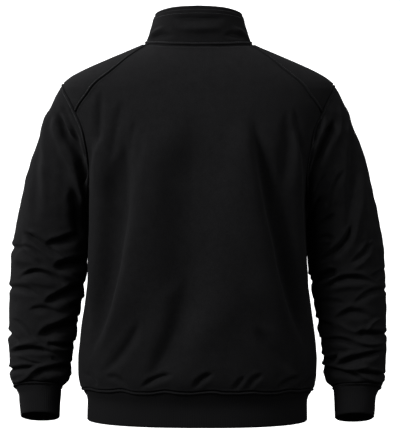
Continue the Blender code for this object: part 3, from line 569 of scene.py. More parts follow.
def along(points, at, closed=False):
    """Points of a smooth curve through a row of points, which at counts from 0."""
    at = np.asarray(at, float)
    last = len(points) - 1
    i = np.floor(at).astype(int)
    if not closed:
        i = np.clip(i, 0, last - 1)
    t = (at - i)[..., None]
    near = []
    for k in (-1, 0, 1, 2):
        near.append(points[np.mod(i + k, last + 1) if closed else np.clip(i + k, 0, last)])
    a, b, c, d = near
    bend = a - 2.5 * b + 2 * c - d / 2
    twist = 1.5 * (b - c) + (d - a) / 2
    return b + (c - a) * t / 2 + bend * t**2 + twist * t**3


def unit(vectors):
    """The same directions, each of length 1."""
    return vectors / np.maximum(np.linalg.norm(vectors, axis=-1, keepdims=True), 1e-9)


def roundness(angle, squareness):
    """How far a rounded square reaches at an angle, where 1 is its half width."""
    sides = np.abs(np.cos(angle)) ** squareness + np.abs(np.sin(angle)) ** squareness
    return sides ** (-1 / squareness)


CREASE_SHAPE = 1.6  # 2 is a round-bottomed fold, and less is a sharper one
LIP = 0.3  # the cloth beside a crease stands out by this share of its depth
FOLD_ENDS = 0.3  # the share of a fold over which each end fades out
DEEPEST = 20.0  # where creases meet, they go no deeper than this
HIGHEST = 14.0
UPPER_LEFT = (0.6, 0.8)  # the direction that "above" is measured in


def fold_depth(folds, across, height):
    """What the folds add at points given by two coordinates in mm."""
    total = np.zeros(np.shape(across))
    t = np.linspace(0, 1, 17)
    for fold in folds:
        a, b, c = (np.array(fold[i : i + 2], float) for i in (0, 2, 4))
        control = 2 * b - (a + c) / 2
        line = np.array([(1 - s) ** 2 * a + 2 * s * (1 - s) * control + s * s * c for s in t])
        reach = 3.2 * max(fold.above, fold.below)
        low, high = line.min(0) - reach, line.max(0) + reach
        near = (across > low[0]) & (across < high[0]) & (height > low[1]) & (height < high[1])
        x, z = across[near], height[near]
        nearest = np.full(x.shape, np.inf)
        reached, uphill = np.zeros(x.shape), np.zeros(x.shape)
        for i in range(len(t) - 1):
            start, run = line[i], line[i + 1] - line[i]
            part = np.clip(((x - start[0]) * run[0] + (z - start[1]) * run[1]) / (run @ run), 0, 1)
            dx, dz = x - start[0] - part * run[0], z - start[1] - part * run[1]
            away = np.hypot(dx, dz)
            closer = away < nearest
            reached = np.where(closer, (i + part) / (len(t) - 1), reached)
            toward = (dx * UPPER_LEFT[0] + dz * UPPER_LEFT[1]) / np.maximum(away, 1e-6)
            uphill = np.where(closer, toward, uphill)
            nearest = np.minimum(nearest, away)
        end = np.clip(np.minimum(reached, 1 - reached) / FOLD_ENDS, 0, 1)
        end = end * end * (3 - 2 * end)
        width = (fold.below + (fold.above - fold.below) * (1 + uphill) / 2) * (0.5 + 0.5 * end)
        away = nearest / width
        side = (away / 1.6) ** 2
        shape = np.exp(-(away**CREASE_SHAPE)) - LIP * side * np.exp(1 - side)
        total[near] += fold.depth * end * shape
    inward = -DEEPEST * np.tanh(np.minimum(total, 0) / -DEEPEST)
    return inward + HIGHEST * np.tanh(np.maximum(total, 0) / HIGHEST)


def ripple(points, size, seed):
    """A soft, uneven wobble from -1 to 1 at points in space, its waves about this long."""
    draw = np.random.default_rng(seed)
    total = np.zeros(points.shape[:-1])
    waves = 7
    for _ in range(waves):
        direction = unit(draw.normal(size=3))
        length = size * draw.uniform(0.7, 1.5)
        total += np.sin(points @ direction * (2 * math.pi / length) + draw.uniform(0, 2 * math.pi))
    return total / math.sqrt(waves)


# How uneven each piece of cloth is: how far it wobbles in and out, how long the waves are,
# and the seed of their random draw.
Wobble = namedtuple("Wobble", "rise size seed")
WOBBLES = {
    "back": Wobble(0.35, 55, 1),
    "front": Wobble(0.35, 55, 2),
    "yoke": Wobble(0.25, 45, 3),
    "hem": Wobble(0.3, 60, 4),
    "sleeve_left": Wobble(0.5, 32, 6),
    "sleeve_right": Wobble(0.5, 32, 4),
    "cuff_left": Wobble(0.2, 30, 10),
    "cuff_right": Wobble(0.2, 30, 8),
    "collar": Wobble(0.25, 40, 12),
}


def wobble(points, name):
    """How far the points of a piece rise for its cloth being uneven."""
    return WOBBLES[name].rise * ripple(points, WOBBLES[name].size, WOBBLES[name].seed)


# The body's surface. An angle of 0 is the left side, 90 the back and -90 the front.


def side_angle(across, height, front=False):
    """The angle of the point on the body's left half that is this far across."""
    c = np.clip(across / read(BODY, "half_width", height), 0, 1)
    s = (1 - c**BODY_SQUARENESS) ** (1 / BODY_SQUARENESS)
    return np.arctan2(-s if front else s, c)


def smooth_body(angle, height):
    """A point of the body with no folds."""
    reach = roundness(angle, BODY_SQUARENESS)
    back, front = (read_smoothed(BODY, column, height) for column in ("back", "front"))
    depth = np.where(np.sin(angle) > 0, back, front)
    x = read(BODY, "half_width", height) * reach * np.cos(angle)
    y = depth * reach * np.sin(angle)
    return np.stack(np.broadcast_arrays(x, y, height), axis=-1)


def facing_out(surface, angle, height):
    """The outward direction of a surface that an angle and a height give."""
    turn, rise = 0.01, 1.0
    round_it = surface(angle + turn, height) - surface(angle - turn, height)
    up_it = surface(angle, np.minimum(height + rise, 0)) - surface(angle, height - rise)
    return unit(np.cross(round_it, up_it))


def body(angle, height):
    """A point of the body's outer face, folds included."""
    angle, height = np.broadcast_arrays(np.asarray(angle, float), np.asarray(height, float))
    point = smooth_body(angle, height)
    across = point[..., 0]
    is_back = np.clip(np.sin(angle) * 4, 0, 1)
    is_front = np.clip(-np.sin(angle) * 4, 0, 1)
    depth = is_back * fold_depth(BACK_FOLDS, across, height)
    depth += is_front * fold_depth(FRONT_FOLDS, across, height)
    depth *= np.clip((height - hem_seam(angle)) / FOLDS_END, 0, 1)
    return point + depth[..., None] * facing_out(smooth_body, angle, height)


def body_out(angle, height):
    """The outward direction of the body, folds included."""
    return facing_out(body, angle, height)


def hem_seam(angle):
    """The height of the seam between the body and the hem band."""
    across = 215 * np.cos(angle)
    back = read(HEM_WAVES_BACK, "rise", across, by="across")
    front = read(HEM_WAVES_FRONT, "rise", across, by="across")
    wave = np.where(np.sin(angle) > 0, back, front)
    return HEM_SEAM_SIDE + HEM_SEAM_RISE * np.sin(angle) ** 2 + wave


def neck(around):
    """The angle and height of the neck seam, from the left side to the back or front."""
    height = read(NECK, "height", around, by="around")
    across = read(NECK, "across", around, by="around")
    front, back = side_angle(across, height, True), side_angle(across, height)
    return np.where(around < 0, front, back), height


def neck_around(across):
    """Where the front half of the neck seam is this far from the middle."""
    around = np.linspace(-90, 0, 400)
    return np.interp(across, read(NECK, "across", around, by="around"), around)


def armhole(around):
    """The angle and height of the armhole, this many degrees round the sleeve."""
    ring = []
    for point in ARMHOLE:
        at_end = point.around in (0, 180)
        angle = 0.0 if at_end else float(side_angle(point.back_across, point.height))
        ring.append((angle, point.height))
    for point in ARMHOLE[-2:0:-1]:
        ring.append((float(side_angle(point.front_across, point.height, True)), point.height))
    return along(np.array(ring), np.mod(np.asarray(around, float), 360) / 15, closed=True)


def yoke_seam(front, at):
    """The angles and heights of a yoke's seam, from the armhole (0) to the neck (1)."""
    table = YOKE_FRONT_SEAM if front else YOKE_BACK_SEAM
    seam = [(float(side_angle(p.across, p.height, front)), p.height) for p in reversed(table)]
    return along(np.array(seam), at * (len(seam) - 1))


def between_edges(low, high, start, end, v, u):
    """A grid that fills four edges: rows from low to high, columns from start to end."""
    v, u = v[:, None, None], u[None, :, None]
    across = (1 - u) * start[:, None] + u * end[:, None]
    up = (1 - v) * low[None] + v * high[None]
    corners = (1 - v) * ((1 - u) * low[0] + u * low[-1]) + v * ((1 - u) * high[0] + u * high[-1])
    return across + up - corners


def shares(length, step, seam_at_start=False, seam_at_end=False):
    """From 0 to 1 along a length in mm, in even steps, with closer ones beside a seam."""
    near = np.array(SEAM_LINES) / length
    first = near[-1] if seam_at_start else 0.0
    last = 1 - near[-1] if seam_at_end else 1.0
    even = np.linspace(first, last, max(2, round((last - first) * length / step) + 1))
    start = np.concatenate([[0.0], near[:-1]]) if seam_at_start else []
    end = np.concatenate([1 - near[-2::-1], [1.0]]) if seam_at_end else []
    return np.concatenate([start, even, end])


def half_panel(front):
    """Angles and heights of half a panel: rows from hem to neck, columns from side to middle."""
    step = FRONT_STEP if front else CLOTH_STEP
    share = shares(300, step, True, front)

    def row(start, height):
        middle = side_angle(SLIT_HALF, height, True) if front else math.pi / 2
        angle = middle * share + start * (1 - share) ** 2
        return np.stack([angle, np.full(len(share), float(height))], axis=-1)

    armpit = ARMHOLE[-1].height
    rows = []
    for t in shares(armpit - HEM_SEAM_SIDE, step, seam_at_start=True)[:-1]:
        line = row(0.0, HEM_SEAM_SIDE)
        line[:, 1] = hem_seam(line[:, 0]) * (1 - t) + armpit * t
        rows.append(line)
    for around in np.linspace(180, YOKE_CORNER_AROUND, 57):
        rows.append(row(*armhole(-around if front else around)))
    around = YOKE_NECK_BACK + share * (90 - YOKE_NECK_BACK)
    if front:
        around = YOKE_NECK_FRONT + share * (neck_around(SLIT_HALF) - YOKE_NECK_FRONT)
    top = np.stack(neck(around), axis=-1)
    up = shares(190, CLOTH_STEP, seam_at_end=True)
    heights = YOKE_CORNER + up * (top[-1, 1] - YOKE_CORNER)
    middle = side_angle(SLIT_HALF, heights, True) if front else np.full(len(up), math.pi / 2)
    middle = np.stack([middle, heights], axis=-1)
    upper = between_edges(rows[-1], top, yoke_seam(front, up), middle, up, share)
    return np.concatenate([np.array(rows), upper[1:]])


def other_side(grid):
    """The same grid on the wearer's right, with its columns the other way round."""
    flipped = grid[:, ::-1].copy()
    flipped[..., 0] = math.pi - flipped[..., 0]
    return flipped


def foot_on_seam(grid):
    """A panel's grid with its foot moved to the hem's seam, whose waves differ on each side."""
    armpit = ARMHOLE[-1].height
    foot = grid[0, :, 1].copy()
    share = np.clip((armpit - grid[..., 1]) / (armpit - foot), 0, 1)
    grid[..., 1] += share * (hem_seam(grid[0, :, 0]) - foot)
    return grid


def grid_out(points, closed, sign=1.0):
    """The outward direction at each point of a grid of rows that run round a tube."""
    if closed:
        round_it = np.roll(points, -1, axis=1) - np.roll(points, 1, axis=1)
    else:
        round_it = np.gradient(points, axis=1)
    return sign * unit(np.cross(round_it, np.gradient(points, axis=0)))


def reached_along(line):
    """How far along a line of points each of them is."""
    return np.concatenate([[0], np.cumsum(np.linalg.norm(np.diff(line, axis=0), axis=1))])


def point_at(at, reached, line):
    """What a line of points or directions is at a given distance along it."""
    return np.stack([np.interp(at, reached, line[:, k]) for k in range(3)], axis=-1)


def fine_line(line, closed=False, step=0.4):
    """The same line of points in mm, with no two neighbours further apart than a step."""
    if closed:
        line = np.concatenate([line, line[:1]])
    reached = reached_along(line)
    return point_at(np.linspace(0, reached[-1], int(reached[-1] / step) + 2), reached, line)


def on_body(grid):
    """The points of the body's face for a grid of angles and heights, and its directions there."""
    return body(grid[..., 0], grid[..., 1]), body_out(grid[..., 0], grid[..., 1])


def raised(points, rise, out):
    """The same points, moved out by a rise."""
    return points + rise[..., None] * out


def beside(points, line, table, closed=False):
    """How far each point of a grid rises for being beside a seam, which is a line of points."""
    line = fine_line(line, closed)
    tree = KDTree(len(line))
    for i, p in enumerate(line):
        tree.insert(p, i)
    tree.balance()
    reach = table[-1].away
    away = np.full(points.shape[:-1], reach, float)
    low, high = line.min(0) - reach, line.max(0) + reach
    close = np.all((points > low) & (points < high), axis=-1)
    for i in np.argwhere(close):
        away[tuple(i)] = min(reach, tree.find(points[tuple(i)])[2])
    return np.interp(away, [r.away for r in table], [r.rise for r in table])


# Meshes


def lengths(points):
    """How far along its rows and its columns each point of a grid is, in metres."""
    across = reached_along(points[len(points) // 2])
    up = reached_along(points[:, points.shape[1] // 2])
    return np.stack(np.meshgrid(across, up), axis=-1) * MM


def shell(name, outer, out, thickness, materials, closed=False, missing=None):
    """A piece of cloth from its outer face, in mm: its two faces and a rounded edge between them."""
    rows, columns = outer.shape[:2]
    turn = np.cross(outer[1:, :-1] - outer[:-1, :-1], outer[:-1, 1:] - outer[:-1, :-1])
    if (turn * out[:-1, :-1]).sum() > 0:
        outer, out = outer[::-1], out[::-1]
        missing = None if missing is None else missing[::-1]
    inner = outer - thickness * out
    count = rows * columns
    places = lengths(np.concatenate([outer, outer[:, :1]], axis=1) if closed else outer)
    index = np.arange(count).reshape(rows, columns)
    if closed:
        index = np.concatenate([index, index[:, :1]], axis=1)
    here = np.arange(index.size).reshape(index.shape)

    def corners(of):
        quads = np.stack([of[:-1, :-1], of[:-1, 1:], of[1:, 1:], of[1:, :-1]], axis=-1)
        return quads.reshape(-1, 4) if missing is None else quads[~missing]

    quads, uv_quads = corners(index), corners(here)
    edge = np.concatenate([quads[:, [i, (i + 1) % 4]] for i in range(4)])
    uv_edge = np.concatenate([uv_quads[:, [i, (i + 1) % 4]] for i in range(4)])
    alone = ~np.isin(edge[:, 0] * count + edge[:, 1], edge[:, 1] * count + edge[:, 0])
    edge, uv_edge = edge[alone], uv_edge[alone]
    flat_outer, flat_inner = outer.reshape(-1, 3), inner.reshape(-1, 3)
    flat_out = out.reshape(-1, 3)
    side = unit(np.cross(flat_outer[edge[:, 1]] - flat_outer[edge[:, 0]], flat_out[edge[:, 0]]))
    push = np.zeros((count, 3))
    np.add.at(push, edge[:, 0], side)
    np.add.at(push, edge[:, 1], side)
    rim = np.unique(edge)
    lip_of = np.zeros(count, int)
    lip_of[rim] = 2 * count + np.arange(len(rim))
    lips = (flat_outer[rim] + flat_inner[rim]) / 2 + unit(push[rim]) * thickness / 2
    a, b = edge[:, 0], edge[:, 1]
    upper_rim = np.stack([b, a, lip_of[a], lip_of[b]], axis=-1)
    lower_rim = np.stack([lip_of[b], lip_of[a], a + count, b + count], axis=-1)
    rim_uv = uv_edge[:, [1, 0, 0, 1]]
    faces = np.concatenate([quads, quads[:, ::-1] + count, upper_rim, lower_rim])
    uv_index = np.concatenate([uv_quads, uv_quads[:, ::-1], rim_uv, rim_uv])
    inside = np.zeros(len(faces), int)
    inside[len(quads) : 2 * len(quads)] = 1
    points = np.concatenate([flat_outer, flat_inner, lips]) * MM
    thing = piece(name, points, faces, materials)
    thing.data.polygons.foreach_set("material_index", inside if len(materials) > 1 else inside * 0)
    layer = thing.data.uv_layers.new(name="cloth")
    layer.data.foreach_set("uv", places.reshape(-1, 2)[uv_index].reshape(-1))
    return clean(thing)


def clean(thing):
    """Drops the points that no face uses."""
    bm = bmesh.new()
    bm.from_mesh(thing.data)
    bmesh.ops.delete(bm, geom=[v for v in bm.verts if not v.link_faces], context="VERTS")
    bm.to_mesh(thing.data)
    bm.free()
    return thing


def piece(name, points, faces, materials, body="garment"):
    """A smooth mesh in metres, which rides on a body of the model."""
    mesh = bpy.data.meshes.new(name)
    mesh.from_pydata(np.asarray(points).tolist(), [], [list(face) for face in faces])
    mesh.shade_smooth()
    for material in materials:
        mesh.materials.append(material)
    thing = bpy.data.objects.new(name, mesh)
    bpy.context.collection.objects.link(thing)
    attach(thing, body)
    return thing


# Materials


def colour(code):
    """A linear colour from an sRGB hex value."""
    srgb = [int(code[i : i + 2], 16) / 255 for i in (1, 3, 5)]
    linear = [c / 12.92 if c <= 0.04045 else ((c + 0.055) / 1.055) ** 2.4 for c in srgb]
    return (*linear, 1.0)


def add(tree, kind, links=(), **settings):
    """A node with its settings, and links into its inputs as (input, output socket)."""
    node = tree.nodes.new("ShaderNode" + kind)
    for name, value in settings.items():
        if hasattr(node, name):
            setattr(node, name, value)
        else:
            node.inputs[name.replace("_", " ")].default_value = value
    for name, socket in links:
        tree.links.new(socket, node.inputs[name])
    return node


def material(name, base, roughness, **settings):
    """A material with one Principled shader, and its tree."""
    made = bpy.data.materials.new(name)
    made.use_nodes = True
    tree = made.node_tree
    shader = tree.nodes["Principled BSDF"]
    shader.inputs["Base Color"].default_value = colour(base)
    shader.inputs["Roughness"].default_value = roughness
    for setting, value in settings.items():
        shader.inputs[setting.replace("_", " ")].default_value = value
    return made, tree, shader


def noise(tree, scale, **settings):
    """A soft uneven pattern in space, with about this many spots a metre."""
    where = add(tree, "TexCoord").outputs["Object"]
    return add(tree, "TexNoise", [("Vector", where)], Scale=scale, **settings).outputs["Fac"]


def relief(tree, shader, height, strength, distance, under=()):
    """Small bumps on a material, as high as a pattern says, over others if there are any."""
    links = [("Height", height), *under]
    bump = add(tree, "Bump", links, Strength=strength, Distance=distance)
    tree.links.new(bump.outputs["Normal"], shader.inputs["Normal"])


def shaded(tree, shader, value, low, dark, high, light):
    """Gives a material a colour that goes from dark to light as a value goes from low to high."""
    shade = add(tree, "ValToRGB", [("Fac", value)])
    for end, at, code in zip(shade.color_ramp.elements, (low, high), (dark, light)):
        end.position = at
        end.color = colour(code)
    tree.links.new(shade.outputs["Color"], shader.inputs["Base Color"])


def fleece():
    """Polyester fleece, knitted and then sheared on its face. The dye and the gaps between its
    upright fibres swallow nearly all light, so it is almost black with no gloss at all, and
    only the fibre tips pick up a little light where the cloth turns away."""
    made, tree, shader = material(
        "sheared_polyester_fleece",
        "#171718",
        1.0,
        Sheen_Weight=0.03,
        Sheen_Roughness=0.5,
        Sheen_Tint=colour("#c8c8cc"),
        Specular_IOR_Level=0.05,
    )
    # Tufts of fibre are about 0.5 mm, drawn at 2 mm so that they show in the picture.
    tufts = noise(tree, 500.0, Detail=3.0, Roughness=0.6)
    # The nap lies a little differently in patches about 12 mm wide.
    nap = noise(tree, 85.0, Detail=2.0, Roughness=0.5)
    both = add(tree, "Mix", [("A", tufts), ("B", nap)], data_type="FLOAT")
    both.inputs["Factor"].default_value = 0.25
    shaded(tree, shader, both.outputs["Result"], 0.35, "#131314", 0.65, "#1b1b1c")
    relief(tree, shader, tufts, 0.5, 0.0006)
    return made


def brushed_inside():
    """The fleece's inner face, brushed to a soft pile that hides the knit. Its colour is darker than
    the outer face's: painted shade for the inside, which shows only in the hollow of the collar and
    the openings.
    """
    # painted shade: the inner face is coloured darker than the outer one
    made, tree, shader = material(
        "brushed_fleece_inside",
        "#0f0f10",
        1.0,
        Sheen_Weight=0.03,
        Sheen_Roughness=0.6,
        Sheen_Tint=colour("#b8b8bc"),
        Specular_IOR_Level=0.05,
    )
    # The pile stands in clumps about 3 mm wide.
    relief(tree, shader, noise(tree, 330.0, Detail=4.0, Roughness=0.7), 0.6, 0.0012)
    return made


def rib_knit():
    """Fine 1 x 1 rib of cotton and elastane. It is matt, and its ribs run up and down."""
    made, tree, shader = material(
        "fine_rib_knit",
        "#171718",
        1.0,
        Sheen_Weight=0.02,
        Sheen_Roughness=0.45,
        Sheen_Tint=colour("#c8c8cc"),
        Specular_IOR_Level=0.05,
    )
    place = add(tree, "UVMap", uv_map="cloth").outputs["UV"]
    # Ribs of 1.1 mm, drawn 2.2 mm apart so that they show in the picture.
    ribs = add(
        tree,
        "TexWave",
        [("Vector", place)],
        wave_type="BANDS",
        bands_direction="X",
        Scale=455.0 / math.tau,
        Distortion=0.4,
        Detail=1.0,
    )
    # Loose fibres, about 1.5 mm apart, roughen them.
    fibres = noise(tree, 700.0, Detail=3.0)
    rough = add(tree, "Bump", [("Height", fibres)], Strength=0.3, Distance=0.0004)
    under = [("Normal", rough.outputs["Normal"])]
    relief(tree, shader, ribs.outputs["Fac"], 0.35, 0.0006, under)
    return made


def woven_tape():
    """Woven polyester zip tape, a fine herringbone with a slight shine."""
    made, tree, shader = material(
        "woven_polyester_tape", "#161617", 0.75, Sheen_Weight=0.1, Specular_IOR_Level=0.3
    )
    place = add(tree, "UVMap", uv_map="cloth").outputs["UV"]
    # Threads are 0.7 mm apart.
    threads = add(
        tree,
        "TexWave",
        [("Vector", place)],
        wave_type="BANDS",
        bands_direction="DIAGONAL",
        Scale=1400.0 / math.tau,
    )
    relief(tree, shader, threads.outputs["Fac"], 0.5, 0.0002)
    return made


def nylon_coil():
    """Black nylon monofilament, drawn smooth, with a soft shine on its coils."""
    made, tree, shader = material("nylon_monofilament", "#121213", 0.38, IOR=1.53)
    # Handling scuffs are about 4 mm across.
    scuffs = noise(tree, 250.0, Detail=3.0)
    dull = add(
        tree,
        "MapRange",
        [("Value", scuffs)],
        From_Min=0.35,
        From_Max=0.65,
        To_Min=0.32,
        To_Max=0.46,
    )
    tree.links.new(dull.outputs["Result"], shader.inputs["Roughness"])
    return made


def lacquered_zinc():
    """Die-cast zinc under black lacquer. The lacquer is satin and thins on the edges."""
    made, tree, shader = material(
        "black_lacquered_zinc", "#1a1a1b", 0.35, Coat_Weight=0.4, Coat_Roughness=0.2
    )
    edges = add(tree, "NewGeometry").outputs["Pointiness"]
    # Wear breaks up in spots about 1 mm wide.
    spots = noise(tree, 1000.0, Detail=3.0)
    worn = add(tree, "Math", [(0, edges), (1, spots)], operation="MULTIPLY")
    shaded(tree, shader, worn.outputs["Value"], 0.30, "#1a1a1b", 0.42, "#3a3a3c")
    return made


def sewing_thread():
    """Spun polyester thread, smooth beside the fleece that it sinks into, so it takes the light.
    Its grey colour is far paler than the black dye: a painted highlight along each row of stitches."""
    # painted highlight: a grey base, paler than black thread, so the stitching shows as a fine light
    # line
    made, tree, shader = material(
        "spun_polyester_thread", "#303032", 0.5, Sheen_Weight=0.1, Specular_IOR_Level=0.4
    )
    where = add(tree, "TexCoord").outputs["Object"]
    # The thread's plies twist about every 0.8 mm.
    twist = add(tree, "TexWave", [("Vector", where)], bands_direction="DIAGONAL", Scale=200.0)
    relief(tree, shader, twist.outputs["Fac"], 0.4, 0.0001)
    return made


# Pieces of cloth


def back_panel(cloth):
    """The back, from side seam to side seam and from the hem's seam to the neck."""
    half = half_panel(front=False)
    grid = foot_on_seam(np.concatenate([half, other_side(half)[:, 1:]], axis=1))
    points, out = on_body(grid)
    rise = wobble(points, "back")
    for edge in (points[:, 0], points[:, -1], points[0]):
        rise = rise + beside(points, edge, FLAT_EDGE)
    rise = rise + beside(points, points[-1], UNDER_COLLAR)
    made = shell("back", raised(points, rise, out), out, CLOTH, cloth)
    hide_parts("back_panel")
    return points


def front_panel(cloth, thread):
    """The front, with the slit that the zip fills."""
    half = half_panel(front=True)
    between = []
    for x in (SLIT_HALF / 2, 0.0, -SLIT_HALF / 2):
        line = half[:, -1].copy()
        turn = side_angle(abs(x), line[:, 1], True)
        line[:, 0] = turn if x >= 0 else -math.pi - turn
        between.append(line[:, None])
    grid = foot_on_seam(np.concatenate([half, *between, mirrored_front(half)], axis=1))
    points, out = on_body(grid)
    rise = wobble(points, "front")
    for edge in (points[:, 0], points[:, -1], points[0]):
        rise = rise + beside(points, edge, FLAT_EDGE)
    rise = rise + beside(points, points[-1], UNDER_COLLAR)
    left_edge = half.shape[1] - 1
    right_edge = left_edge + len(between) + 1
    cells = np.zeros((len(grid) - 1, grid.shape[1] - 1), bool)
    above = grid[:-1, left_edge, 1] >= SLIT_BOTTOM - 0.01
    cells[above, left_edge:right_edge] = True
    slit = points[np.concatenate([above, [True]])]
    for edge in (slit[:, left_edge], slit[:, right_edge]):
        rise = rise + beside(points, edge, TURNED_EDGE)
    placed = raised(points, rise, out)
    made = shell("front", placed, out, CLOTH, cloth, missing=cells)
    open_rows = slice(int(np.argmax(above)), None)
    going_in = {"left": slice(left_edge, None, -1), "right": slice(right_edge, None)}
    for name, columns in going_in.items():
        part = (grid[open_rows, columns].swapaxes(0, 1) for grid in (points, placed, out))
        stitches("stitches_slit_" + name, *part, thread)
    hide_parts("front_panel")
    return points


def mirrored_front(half):
    """The front's right half. Its angles run on below those of the left half."""
    flipped = half[:, ::-1].copy()
    flipped[..., 0] = -math.pi - flipped[..., 0]
    return flipped


def shoulder_yoke(side, cloth, thread):
    """The piece over one shoulder, from the neck to the armhole."""
    across = shares(200, CLOTH_STEP, True, True)
    turn = shares(230, CLOTH_STEP, True, True)
    around = YOKE_NECK_BACK + turn * (YOKE_NECK_FRONT - YOKE_NECK_BACK)
    neck_edge = np.stack(neck(around), axis=-1)
    arm_edge = armhole(YOKE_CORNER_AROUND * (1 - 2 * turn))
    back, front = yoke_seam(False, 1 - across), yoke_seam(True, 1 - across)
    grid = between_edges(neck_edge, arm_edge, back, front, across, turn)
    if side < 0:
        grid = other_side(grid)
    points, out = on_body(grid)
    rise = wobble(points, "yoke")
    for edge in (points[:, 0], points[:, -1]):
        rise = rise + beside(points, edge, TURNED_EDGE)
    rise = rise + beside(points, points[0], UNDER_COLLAR)
    rise = rise + beside(points, points[-1], FLAT_EDGE)
    name = "left" if side > 0 else "right"
    placed = raised(points, rise, out)
    made = shell("yoke_" + name, placed, out, CLOTH, cloth)
    by_column = tuple(grid.swapaxes(0, 1) for grid in (points, placed, out))
    stitches(f"stitches_yoke_{name}_1", *by_column, thread, at=3.6)
    stitches(f"stitches_yoke_{name}_2", *(grid[::-1] for grid in by_column), thread, at=3.6)
    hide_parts("shoulder_yoke_" + name)
    return points, out


def hem_band(rib, thread):
    """The rib band round the hem."""
    angle = np.linspace(0, 2 * math.pi, 420, endpoint=False)
    t = shares(58, 3.2, seam_at_start=True)[:, None]
    height = hem_seam(angle) * (1 - t) + HEM_BOTTOM * t
    angle = np.broadcast_to(angle, height.shape)
    points, out = body(angle, height), body_out(angle, height)
    rise = beside(points, points[0], BAND_EDGE, closed=True) + wobble(points, "hem")
    placed = raised(points, rise, out)
    made = shell("hem", placed, out, RIB, rib, closed=True)
    stitches("stitches_hem", points, placed, out, thread, closed=True)
    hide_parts("hem_band")
    return points


def ring_points(table, heights, around, side):
    """Points of the sleeve's or cuff's sections, one row of them for each height."""
    outer = read(table, "outer", heights)[:, None]
    inner = read(table, "inner", heights)[:, None]
    middle = read(table, "middle", heights)[:, None]
    reach = roundness(around, SLEEVE_SQUARENESS)
    x = (outer + inner) / 2 + (outer - inner) / 2 * reach * np.cos(around)
    y = middle + read(table, "half_depth", heights)[:, None] * reach * np.sin(around)
    z = heights[:, None] + (y - middle) * np.tan(np.radians(read(table, "tilt", heights)))[:, None]
    return np.stack([side * x, y, z], axis=-1)


def armhole_ring(side, around):
    """The armhole's points and the body's outward direction there."""
    angle, height = armhole(np.degrees(around)).T
    if side < 0:
        angle = math.pi - angle
    return body(angle, height), body_out(angle, height)


def bend(table, around, side):
    """The directions in a table of bends, for each angle round the sleeve."""
    turn = np.degrees(around)
    turn, sign = np.where(turn > 180, 360 - turn, turn), np.where(turn > 180, -1.0, 1.0)
    out, back, up = (read(table, column, turn, by="around") for column in ("out", "back", "up"))
    return np.stack([side * out, sign * back, up], axis=-1)


def sleeve_points(side):
    """The sleeve's outer face and its outward direction, from the armhole to the cuff's seam."""
    around = np.arange(SLEEVE_COLUMNS) * 2 * math.pi / SLEEVE_COLUMNS
    start, body_side = armhole_ring(side, around)
    low = shares(SLEEVE[0].height - SLEEVE[-1].height, FOLD_STEP, seam_at_end=True)
    heights = SLEEVE[0].height + low * (SLEEVE[-1].height - SLEEVE[0].height)
    lower = ring_points(SLEEVE, heights, around, side)
    leave, reach = bend(LEAVES_ARMHOLE, around, side), bend(REACHES_ARM, around, side)
    upper = []
    for t in shares(200, CLOTH_STEP, seam_at_start=True)[:-1]:
        from_start = (1 + 2 * t) * (1 - t) ** 2 * start + t * (1 - t) ** 2 * leave
        upper.append(from_start + (3 - 2 * t) * t**2 * lower[0] - (1 - t) * t**2 * reach)
    points = np.concatenate([np.array(upper), lower])
    behind = LEFT_SLEEVE_FOLDS if side > 0 else RIGHT_SLEEVE_FOLDS
    before = LEFT_SLEEVE_FRONT_FOLDS if side > 0 else RIGHT_SLEEVE_FRONT_FOLDS
    from_armhole = np.linalg.norm(points - start, axis=-1)
    above_cuff = points[..., 2] - SLEEVE[-1].height
    fade = np.clip(from_armhole / FOLDS_START, 0, 1) * np.clip(above_cuff / FOLDS_STOP, 0, 1)
    fade[-1] = 0
    is_back = np.clip(1 + np.sin(around) / PAST_THE_SIDE, 0, 1)
    depth = is_back * fold_depth(behind, points[..., 0], points[..., 2])
    depth += (1 - is_back) * fold_depth(before, points[..., 0], points[..., 2])
    points = points + (fade * depth)[..., None] * grid_out(points, True, -side)
    out = grid_out(points, True, -side)
    agree = np.clip((out[0] * body_side).sum(-1, keepdims=True) * 2, 0, 1)
    out[0] = unit(out[0] * (1 - agree / 2) + body_side * agree / 2)
    return points, out


def sleeve_and_cuff(side, cloth, rib, thread):
    """One sleeve and the rib cuff that it is gathered to."""
    name = "left" if side > 0 else "right"
    points, out = sleeve_points(side)
    around = np.arange(SLEEVE_COLUMNS) * 2 * math.pi / SLEEVE_COLUMNS
    down = shares(CUFF[0].height - CUFF[-1].height, 3.0, seam_at_start=True)
    heights = CUFF[0].height + down * (CUFF[-1].height - CUFF[0].height)
    cuff = ring_points(CUFF, heights, around, side)
    cuff_out = grid_out(cuff, True, -side)
    seam_out = unit(out[-1] + cuff_out[0])
    out[-1] = seam_out
    cuff_out[0] = seam_out
    rise = beside(points, points[0], ARMHOLE_EDGE, closed=True)
    rise += beside(points, points[-1], FLAT_EDGE, closed=True)
    rise += wobble(points, "sleeve_" + name)
    cuff_rise = beside(cuff, cuff[0], BAND_EDGE, closed=True)
    cuff_rise += wobble(cuff, "cuff_" + name)
    placed = raised(points, rise, out)
    made = shell(f"sleeve_{name}_cloth", placed, out, CLOTH, cloth, closed=True)
    stitches(f"stitches_armhole_{name}", points, placed, out, thread, at=5.6, closed=True)
    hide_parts(*(f"{part}_{name}" for part in SLEEVE_SOLIDS))
    placed = raised(cuff, cuff_rise, cuff_out)
    made = shell(f"cuff_{name}_rib", placed, cuff_out, RIB, rib, closed=True)
    stitches(f"stitches_cuff_{name}", cuff, placed, cuff_out, thread, closed=True)
    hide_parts("cuff_" + name)
    return points


